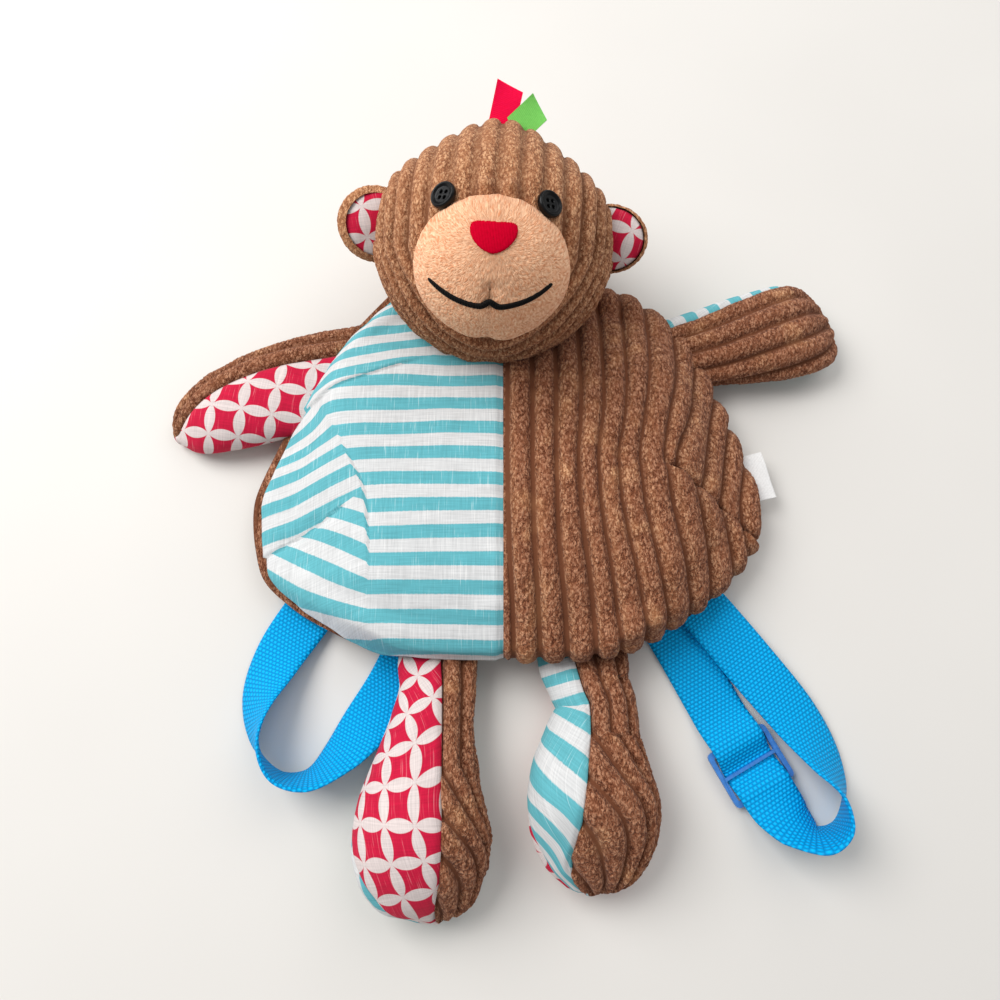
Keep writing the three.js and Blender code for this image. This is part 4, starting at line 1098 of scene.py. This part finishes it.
def nose_patch():
    """A raised patch of satin stitch, flat on top and pointed below, with a slightly ragged edge."""
    waist, above = NOSE["waist"], NOSE["above"]
    turn = np.linspace(0, 2 * math.pi, 160, endpoint=False)
    rise = np.sin(turn)
    upper = rise > 0
    across = np.sign(np.cos(turn)) * np.abs(np.cos(turn)) ** np.where(upper, 0.7, 1.2)
    up = waist + np.where(
        upper, (NOSE["top"] - waist) * np.abs(rise) ** 0.42, (NOSE["bottom"] - waist) * np.abs(rise) ** 1.3
    )
    ragged = 1 + 0.012 * np.sin(37 * turn) + 0.01 * np.sin(61 * turn)
    tilted = turned("Z", NOSE["turn"])[:2, :2]
    edge = joined(NOSE["half_width"] * across * ragged, up * ragged) @ tilted.T + (0, above)
    middle = np.array([0, above + 2.0])
    shares = np.concatenate([np.linspace(0.02, 1, 30), [1.0]])
    flat = middle + (edge - middle)[None] * shares[:, None, None]
    height = NOSE["thick"] * (1 - shares[:, None] ** 6) ** 0.5
    height[-1] = -1.5
    x, y = flat[..., 0], flat[..., 1]
    made = make_piece(
        "nose_patch", on_muzzle(flat, 0.2 + height), grid_faces(*x.shape, ring=True), NOSE_THREAD,
        "nose_embroidery", "nose", cloth=joined(y, x, 0 * x),
    )


def smile_line():
    """A cord of stitches along the mouth, peaked in the middle and thinner at its ends."""
    t = np.linspace(-1, 1, 260)
    x = t * SMILE["half_width"]
    y = SMILE["drop"] + SMILE["rise"] * np.abs(t) ** 2.2 + SMILE["peak"] * np.exp(-((t / 0.09) ** 2))
    line = joined(x, y) @ turned("Z", SMILE["turn"])[:2, :2].T
    ahead = np.gradient(line, axis=0)
    out = joined(-ahead[:, 1], ahead[:, 0]) / np.linalg.norm(ahead, axis=1, keepdims=True)
    length = np.cumsum(np.linalg.norm(ahead, axis=1))
    ends = np.sqrt(np.clip(np.minimum(length - length[0], length[-1] - length), 0.03, 1))
    half = SMILE["stroke"] / 2 * (1 - 0.3 * t ** 4) * ends
    turn = np.linspace(0, 2 * math.pi, 18, endpoint=False)
    flat = line[:, None] + out[:, None] * (half[:, None] * np.cos(turn))[..., None]
    stitch = 0.14 * np.sin(2 * math.pi * (length[:, None] + 0.5 * np.cos(turn)) / STITCH_LENGTH)
    lift = (SMILE["thick"] * ends[:, None] + stitch) * np.sin(turn) - 0.2
    cloth = joined(np.cos(turn) + 0 * half[:, None], length[:, None] + 0 * turn, 0 * flat[..., 0])
    make_piece(
        "smile_stitching", on_muzzle(flat, lift), grid_faces(*lift.shape, ring=True), SMILE_THREAD,
        "black_thread", "mouth", cloth=cloth,
    )


def eye_button(side):
    """A button with a raised rim and four holes, turned out a little more than the head's surface."""
    radius, thick = EYE["radius"], EYE["thick"]
    inside = radius - EYE["rim"]
    profile = np.array([
        (0.01, thick - EYE["dish"]), (inside - 1.0, thick - EYE["dish"]), (inside - 0.4, thick - 0.5),
        (inside, thick - 0.1), (radius - 0.7, thick), (radius - 0.25, thick - 0.35), (radius, thick - 1.0),
        (radius, 1.0), (radius - 0.5, 0.2), (0.01, 0.0),
    ])
    section = even_steps(profile, 70)
    turn = np.linspace(0, 2 * math.pi, 72, endpoint=False)
    r = section[:, :1]
    x, y = r * np.cos(turn), r * np.sin(turn)
    z = section[:, 1:] + 0 * turn
    for i, j in ((1, 1), (1, -1), (-1, 1), (-1, -1)):
        away = np.hypot(x - i * EYE["spacing"], y - j * EYE["spacing"])
        hole = 1 - smoothstep(away, EYE["hole"] * 0.75, EYE["hole"] * 1.15)
        z = np.where(z > thick / 2, z - 1.6 * hole, z)
    frame_at = HEAD @ turned("Y", side * EYE["side"]) @ turned("X", -EYE["above"]) @ moved(0, 0, HEAD_RADIUS)
    frame_at = frame_at @ turned("Y", side * EYE_LEAN["side"]) @ turned("X", -EYE_LEAN["up"])
    points = placed(frame_at, joined(x, y, z))
    faces = grid_faces(*x.shape, ring=True)[:, ::-1]
    make_piece(f"eye_button_{SIDES[side]}", points, faces, BUTTON, "button", f"eye_{SIDES[side]}")


def ear(side, front):
    """One face of an ear: the printed front, or the corduroy back whose edge is rolled over it."""
    place = EAR_PLACES[side]
    trim = EAR["inset"] if front else -0.4
    unit = half_ball(52, 136, opening=96 if front else place["roll"])
    base = unit * (EAR["out"] - trim, place["high"] - trim, EAR["thick"])
    faces = grid_faces(*base.shape[:2], ring=True)
    name = f"ear_{SIDES[side]}_{'front' if front else 'back'}"
    if front:
        base[..., 2] += 0.4 * drift(base * (1, 1, 0), size=7, seed=8) + 0.6
        base[..., 0] -= place["shown"]
        cloth = placed(turned("Z", side * 12), base * (1, 1, 0) + (5, 6, 0))
        look = {"finish": PRINTED, "slot": "red_print", "cloth": cloth}
    else:
        base *= (1, 1, -1)
        # Painted light: the rolled rim's pile is coloured paler, as if more lit
        stand, pile = plush(base, 0.5 + 0 * base[..., 0], rib=0.2, seed=83, groove=HEAD_GROOVE, lightened=0.8)
        base = base + unit * (1, 1, -1) * (stand + 0.3)[..., None]
        faces = faces[:, ::-1]
        look = {"finish": CORDUROY, "slot": "corduroy", "pile": pile}
    out, up, forward = place["centre"]
    points = placed(HEAD @ moved(side * out, up, forward) @ turned("Y", -side * EAR["lean"]), base)
    made = make_piece(name + "_cloth", points, outside_head(faces, points, UNDER_HEAD), node=name, **look)


def ribbon(name, spec, finish):
    """A folded tab of ribbon sewn into the crown: two layers with a soft fold at the free end."""
    half, length, thick = RIBBON["width"] / 2, spec["length"], RIBBON["thick"] / 2
    u = np.linspace(-1, 1, 30)[None]
    top = joined(np.linspace(0, length, 40), thick * np.ones(40))
    bend = np.linspace(0, math.pi, 9)[1:-1]
    fold = joined(length + thick * np.sin(bend), thick * np.cos(bend))
    section = np.concatenate([top, fold, top[::-1] * (1, -1)])
    x = half * u + 0 * section[:, :1]
    y = section[:, :1] * (1 - spec["slant"] / length * (0.5 + 0.5 * u))
    z = section[:, 1:] + 0.8 * (y / length) ** 2 * u ** 2
    frame_at = (
        HEAD @ turned("Z", -spec["at"]) @ moved(0, HEAD_RADIUS - 4 - CROWN["drop"], -spec["back"])
        @ turned("Z", spec["turn"] + spec["at"])
    )
    points = placed(frame_at, joined(x, y, z))
    cloth = joined(x, lengths(section)[:, None] + 0 * x, 0 * x)
    faces = outside_head(grid_faces(*x.shape), points, depth=9)
    made = make_piece(name + "_tab", points, faces, finish, name, name, cloth=cloth)


# Limbs


def limb_sections(rows, count):
    """Sections of a limb from its root to its closed tip: their centres, half widths, half heights, angles of
    the table's seam and directions to the side, and how far the tip rounds off past the table."""
    limb = {**rows, "row": np.arange(len(rows["x"]), dtype=float)}
    steps = np.linspace(0, len(rows["x"]) - 1, 500)
    centre = np.stack([through(limb, "row", k, steps) for k in ("x", "y", "z")], -1)
    even = even_steps(np.column_stack([centre, steps]), count)
    centre, steps = even[:, :3], even[:, 3]
    half, thick, seam = (through(limb, "row", k, steps) for k in ("half", "thick", "seam"))
    ahead = np.gradient(centre[:, :2], axis=0)
    ahead /= np.linalg.norm(ahead, axis=1, keepdims=True)
    closing = np.radians(np.linspace(0, 88, TIP_ROWS + 1))[1:, None]
    blunt = min(LIMB_TIP, 0.4 * half[-1])
    tip = centre[-1] + blunt * np.sin(closing) * np.append(ahead[-1], 0)
    centre = np.concatenate([centre, tip])
    half, thick = (np.append(v, v[-1] * np.cos(closing)) for v in (half, thick))
    ahead = np.pad(ahead, ((0, TIP_ROWS), (0, 0)), mode="edge")
    seam = np.pad(seam, (0, TIP_ROWS), mode="edge")
    side = joined(ahead[:, 1], -ahead[:, 0], 0 * half)
    return centre, half, thick, seam, side, blunt


def limb_panel(name, rows, start, end, finish, slot, seed, ribs=None, pattern=None):
    """One cloth panel of a stuffed limb between two seams, which pull in a little, from the root to the closed
    tip. Start and end give the seams' angles from the table's and the share along the limb. Ribs gives the
    number of ribs, and pattern the place on the flat cloth, from how far a point is across the panel, how
    wide the panel is there and how far along the limb it is."""
    length_steps, width_steps = (188, 92) if ribs else (112, 50)
    centre, half, thick, seam, side, blunt = limb_sections(rows, length_steps)
    run = lengths(centre)
    share = run / run[-1]
    low, high = np.radians(start(seam, share)), np.radians(end(seam, share))
    angle = low[:, None] + (high - low)[:, None] * np.linspace(0, 1, width_steps)
    grid = centre[:, None] + side[:, None] * (half[:, None] * np.cos(angle))[..., None]
    grid[..., 2] = np.maximum(grid[..., 2] + thick[:, None] * np.sin(angle), 0.0)
    normal = normals_of(grid)
    normal *= np.sign((normal * (grid - centre[:, None])).sum(-1).mean())
    across = np.pad(np.cumsum(np.linalg.norm(np.diff(grid, axis=1), axis=2), 1), ((0, 0), (1, 0)))
    width = across[:, -1:]
    along = run[:, None] + 0 * across
    pinch = 1.2 * np.exp(-((np.minimum(across, width - across) / 1.6) ** 2))
    if ribs:
        stand, pile = plush(grid, ribs(across, width, along), LIMB_RIB_HEIGHT + 0.6, seed, LIMB_GROOVE)
        stand = stand - LIMB_RIB_HEIGHT + 0.3
        carries = {"pile": pile}
    else:
        stand = 0.35 * drift(grid, size=16, seed=seed) + 0.2 * drift(grid, size=6, seed=seed + 1)
        carries = {"cloth": joined(*pattern(across, width, along), 0 * across)}
    at_tip = smoothstep(along, run[-1] - 2 * blunt, run[-1])
    grid = grid + normal * ((stand - pinch) * (1 - at_tip))[..., None]
    grid[..., 2] = np.maximum(grid[..., 2], 0.0)
    edge = centre[:, None] + (grid[:, [0, -1]] - centre[:, None]) * 0.9
    points = np.concatenate([edge[:, :1], grid, edge[:, 1:]], 1)
    carries = {key: np.pad(value, ((0, 0), (1, 1), (0, 0)), mode="edge") for key, value in carries.items()}
    made = make_piece(name + "_cloth", points, grid_faces(*points.shape[:2]), finish, slot, name, **carries)


def seam_at(angle, follow=0, swing=0.0, start=0.0, end=1.0):
    """A seam's angle round the limb: it follows the table's seam one way or the other, or not at all, and
    swings by that many degrees between two shares of the limb's length."""
    return lambda seam, share: angle + follow * seam + swing * smoothstep(share, start, end)


def lengthwise(count):
    """A whole number of ribs that run along the limb."""
    return lambda across, width, along: count * across / width


def fanned(ankle, spacing, bend):
    """Ribs that run along the leg and, past the ankle, fan out over the foot from its middle seam."""
    def ribs(across, width, along):
        start = along - ankle + bend * np.log(np.maximum(0.03, 1 - across / (width + 3)))
        return np.where(along < ankle, across / LIMB_RIB_PITCH, start / spacing)
    return ribs


def turned_cloth(degrees, gathered=1.0, shift=(0.0, 0.0)):
    """Cloth cut at that angle to the limb."""
    c, s = cos_sin(degrees)

    def pattern(across, width, along):
        aside = across - width / 2
        return gathered * (c * aside - s * along) + shift[0], gathered * (s * aside + c * along) + shift[1]
    return pattern


def swept_cloth(at_root, at_tip, start, end, gathered, shift):
    """Gathered cloth whose threads turn from one angle at the limb's root to another towards its tip."""
    run = np.linspace(0, end, 200)
    turn = np.radians(at_root + (at_tip - at_root) * smoothstep(run, start, end))

    def pattern(across, width, along):
        here = np.interp(along, run, turn)
        past = np.maximum(0, along - end)
        drawn = np.interp(along, run, np.cumsum(np.sin(turn)) * run[1]) + past * math.sin(turn[-1])
        fed = np.interp(along, run, np.cumsum(np.cos(turn)) * run[1]) + past * math.cos(turn[-1])
        aside = across - width / 2
        u = gathered * (np.cos(here) * aside - drawn)
        v = gathered * (np.sin(here) * aside + fed)
        return u + shift[0], v + shift[1]
    return pattern


def footed_cloth(across, width, along):
    """Cloth whose stripes cross the leg level and, past the ankle, run down to the seam."""
    outer = through(FOOT_STRIPES, "outer", "stripe", along)
    seam = through(FOOT_STRIPES, "seam", "stripe", along)
    return across, STRIPE_PERIOD * (outer + (seam - outer) * (across / width))


# Straps and small parts


def centripetal(points, t):
    """Points of a smooth line through the given ones, at shares of their count."""
    before, after = 2 * points[0] - points[1], 2 * points[-1] - points[-2]
    p = np.concatenate([[before], points, [after]])
    at = np.clip(t, 0, 1) * (len(points) - 1)
    i = np.minimum(at.astype(int), len(points) - 2)
    s = (at - i)[:, None]
    gaps = np.sqrt(np.linalg.norm(np.diff(p, axis=0), axis=1))[:, None]
    p0, p1, p2, p3 = (p[i + k] for k in range(4))
    d0, d1, d2 = (gaps[i + k] for k in range(3))
    t1 = ((p1 - p0) / d0 - (p2 - p0) / (d0 + d1) + (p2 - p1) / d1) * d1
    t2 = ((p2 - p1) / d1 - (p3 - p1) / (d1 + d2) + (p3 - p2) / d2) * d1
    curve = 2 * p1 - 2 * p2 + t1 + t2
    bend = -3 * p1 + 3 * p2 - 2 * t1 - t2
    return p1 + t1 * s + bend * s ** 2 + curve * s ** 3


def strap(name, rows):
    """Webbing with rounded edges along its table, leaning as the table says."""
    count = 520
    t = np.linspace(0, 1, count)
    line = centripetal(joined(rows["x"], rows["y"], rows["z"]), t)
    ahead = np.gradient(line, axis=0)
    ahead /= np.linalg.norm(ahead, axis=1, keepdims=True)
    level = joined(ahead[:, 1], -ahead[:, 0], 0 * t)
    level /= np.linalg.norm(level, axis=1, keepdims=True)
    marked = {**rows, "share": np.linspace(0, 1, len(rows["x"]))}
    lean = np.radians(through(marked, "share", "lean", t))[:, None]
    width = level * np.cos(lean) - np.cross(ahead, level) * np.sin(lean)
    face = np.cross(ahead, width)
    u = np.linspace(-1, 1, 15)
    round_edge = 1 - np.clip((np.abs(u) - 0.93) / 0.07, 0, 1) ** 2 * 0.6
    upper = joined(WEBBING_WIDTH / 2 * u, WEBBING_THICK / 2 * round_edge)
    section = np.concatenate([upper, upper[::-1] * (1, -1)])
    grid = line[:, None] + width[:, None] * section[None, :, :1] + face[:, None] * section[None, :, 1:]
    run = lengths(line)[:, None]
    cloth = joined(section[:, 0] + 0 * run, run + 0 * section[:, 0], 0 * grid[..., 0])
    columns = len(section)
    faces = grid_faces(count, columns, ring=True).tolist()
    for row in (0, count - 1):
        ring = row * columns + np.arange(columns)
        there, back = ring[:columns // 2], ring[::-1][:columns // 2]
        cap = joined(there[:-1], there[1:], back[1:], back[:-1])
        faces += (cap if row else cap[:, ::-1]).tolist()
    make_piece(name + "_webbing", grid, faces, WEBBING, "webbing", name, cloth=cloth)


def side_label():
    """A bare tab of tape sewn into the side seam."""
    x0 = through(POUCH, "y", "right", np.array([LABEL["y"]]))[0] - LABEL["sewn_in"]
    u = np.linspace(-1, 1, 24)
    reach = LABEL["length"] + LABEL["sewn_in"]
    half = LABEL["thick"] / 2
    top = joined(np.linspace(0, reach, 24), np.full(24, half))
    fold = np.radians(np.linspace(80, -80, 7))
    bend = joined(reach + half * np.cos(fold), half * np.sin(fold))
    section = np.concatenate([top, bend, top[::-1] * (1, -1)])
    out = section[:, :1] + 0 * u
    aside = LABEL["width"] / 2 * u + 0 * section[:, :1]
    c, s = cos_sin(LABEL["turn"])
    x = x0 + c * out - s * aside
    y = LABEL["y"] + s * out + c * aside
    z = LABEL["z"] + half + section[:, 1:] + 0.7 * np.sin(2.2 * u) * (section[:, :1] / reach) ** 2
    made = make_piece(
        "side_tab", joined(x, y, z), grid_faces(*x.shape), LABEL_TAPE, "label_tape", "side_label",
        cloth=joined(aside, out, 0 * x),
    )


def slider():
    """A moulded three-bar slider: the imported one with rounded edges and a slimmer, lower middle bar."""
    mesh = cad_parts["slider_right"].data.copy()
    mesh.materials.clear()
    mesh.materials.append(SLIDER_PLASTIC)
    along, back = turned("Z", -SLIDER["turn"]), turned("Z", SLIDER["turn"])
    for vertex in mesh.vertices:
        off = placed(along, (np.array(vertex.co) - ORIGIN) / MM - SLIDER["centre"])
        if abs(off[0]) < SLIDER["bar"] and abs(off[1]) < SLIDER["width"] / 2 - SLIDER["side"] + 0.1:
            slim = placed(back, off * (0.5, 1, 1) - (0, 0, 0.6)) + SLIDER["centre"]
            vertex.co = slim * MM + ORIGIN
    made = in_scene(bpy.data.objects.new("slider_moulding", mesh))
    bevel = made.modifiers.new("rounded_edges", "BEVEL")
    bevel.width = 0.5 * MM
    bevel.segments = 3
    bevel.limit_method = "ANGLE"
    bevel.angle_limit = math.radians(40)
    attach(made, "root")
    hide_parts("slider_right")


# Stage


def pale_floor():
    """A wide floor with a faintly cloudy paint."""
    ground = bpy.data.meshes.new("floor")
    size = 3.0
    corners = [(-size, -size, 0), (size, -size, 0), (size, size, 0), (-size, size, 0)]
    ground.from_pydata(corners, [], [(0, 1, 2, 3)])
    finish, tree, shader = new_finish("pale_floor", roughness=0.8)
    cloudy = noise(tree, own_place(tree), 6.0, 2.0)[0]
    tree.links.new(blended(tree, cloudy, "#D9D5CF", "#E2DED8"), shader.inputs["Base Color"])
    ground.materials.append(finish)
    in_scene(bpy.data.objects.new("floor", ground))


def lights():
    """A dim, slightly cool surround, a large window from the upper left and a weaker fill from the right."""
    world = bpy.data.worlds.new("studio")
    world.use_nodes = True
    surround = world.node_tree.nodes["Background"]
    surround.inputs["Color"].default_value = (0.95, 0.97, 1.0, 1)
    surround.inputs["Strength"].default_value = 0.44
    bpy.context.scene.world = world
    for name, at, power, width in (
        ("window", (-0.75, 0.42, 1.0), 17.0, 0.9),
        ("fill", (0.6, 0.75, 1.1), 6.5, 1.2),
    ):
        light = bpy.data.lights.new(name, "AREA")
        light.energy = power
        light.size = width
        lamp = in_scene(bpy.data.objects.new(name, light))
        lamp.location = at
        lamp.rotation_mode = "QUATERNION"
        lamp.rotation_quaternion = (-Vector(at)).to_track_quat("-Z", "Y")


def photo_camera():
    """The camera where the photograph was taken from."""
    lens = bpy.data.cameras.new("camera")
    lens.sensor_width = 36.0
    lens.lens = lens.sensor_width * PHOTO_FOCAL / PHOTO_WIDTH
    lens.clip_start = 0.01
    camera = in_scene(bpy.data.objects.new("camera", lens))
    camera.location = Vector(np.array(CAMERA_AT) * MM + ORIGIN)
    camera.rotation_euler = (math.radians(CAMERA_TILT), 0, 0)
    bpy.context.scene.camera = camera
    bpy.context.scene.view_settings.view_transform = "Standard"


pale_floor()
lights()
photo_camera()

corduroy_half()
striped_half()
back_shell()
head_ball()
muzzle_ball()
nose_patch()
smile_line()
for side in SIDES:
    eye_button(side)
for side in SIDES:
    ear(side, front=True)
    ear(side, front=False)
ribbon("ribbon_red", RIBBON_RED, RED_TAPE)
ribbon("ribbon_green", RIBBON_GREEN, GREEN_TAPE)

limb_panel(
    "arm_left_print", ARM_LEFT, seam_at(187, follow=-1), seam_at(360, follow=-1),
    PRINTED, "red_print", seed=101, pattern=turned_cloth(61, gathered=0.93, shift=(-2.3, 2.9)),
)
limb_panel(
    "arm_left_corduroy", ARM_LEFT, seam_at(0, follow=-1), seam_at(187, follow=-1),
    CORDUROY, "corduroy", seed=111, ribs=lengthwise(5),
)
limb_panel(
    "arm_right_corduroy", ARM_RIGHT, seam_at(-180, follow=1), seam_at(0, follow=1),
    CORDUROY, "corduroy", seed=121, ribs=lengthwise(5),
)
limb_panel(
    "arm_right_striped", ARM_RIGHT, seam_at(0, follow=1), seam_at(180, follow=1),
    STRIPED, "striped_cotton", seed=131, pattern=turned_cloth(8),
)
upper_seam = seam_at(180, follow=-1)
limb_panel(
    "leg_left_print", LEG_LEFT, seam_at(-15, swing=46, start=0.5, end=0.85), upper_seam,
    PRINTED, "red_print", seed=141, pattern=swept_cloth(40, -3, 25, 82, gathered=1.06, shift=(7.5, 1)),
)
limb_panel(
    "leg_left_corduroy", LEG_LEFT, upper_seam, seam_at(200),
    CORDUROY, "corduroy", seed=154, ribs=fanned(ankle=51, spacing=18.5, bend=44),
)
limb_panel(
    "leg_left_under", LEG_LEFT, seam_at(200), seam_at(345, swing=46, start=0.5, end=0.85),
    STRIPED, "striped_cotton", seed=161, pattern=turned_cloth(60),
)
inner_seam = seam_at(200, swing=-25, start=0.65, end=0.95)
limb_panel(
    "leg_right_striped", LEG_RIGHT, seam_at(-15, swing=34, start=0.5, end=0.9), upper_seam,
    STRIPED, "striped_cotton", seed=171, pattern=footed_cloth,
)
limb_panel(
    "leg_right_corduroy", LEG_RIGHT, upper_seam, inner_seam,
    CORDUROY, "corduroy", seed=181, ribs=fanned(ankle=38, spacing=18.5, bend=44),
)
limb_panel(
    "leg_right_under", LEG_RIGHT, inner_seam, seam_at(345, swing=34, start=0.5, end=0.9),
    PRINTED, "red_print", seed=191, pattern=turned_cloth(20),
)

strap("strap_left", STRAP_LEFT)
strap("strap_right", STRAP_RIGHT)
slider()
side_label()
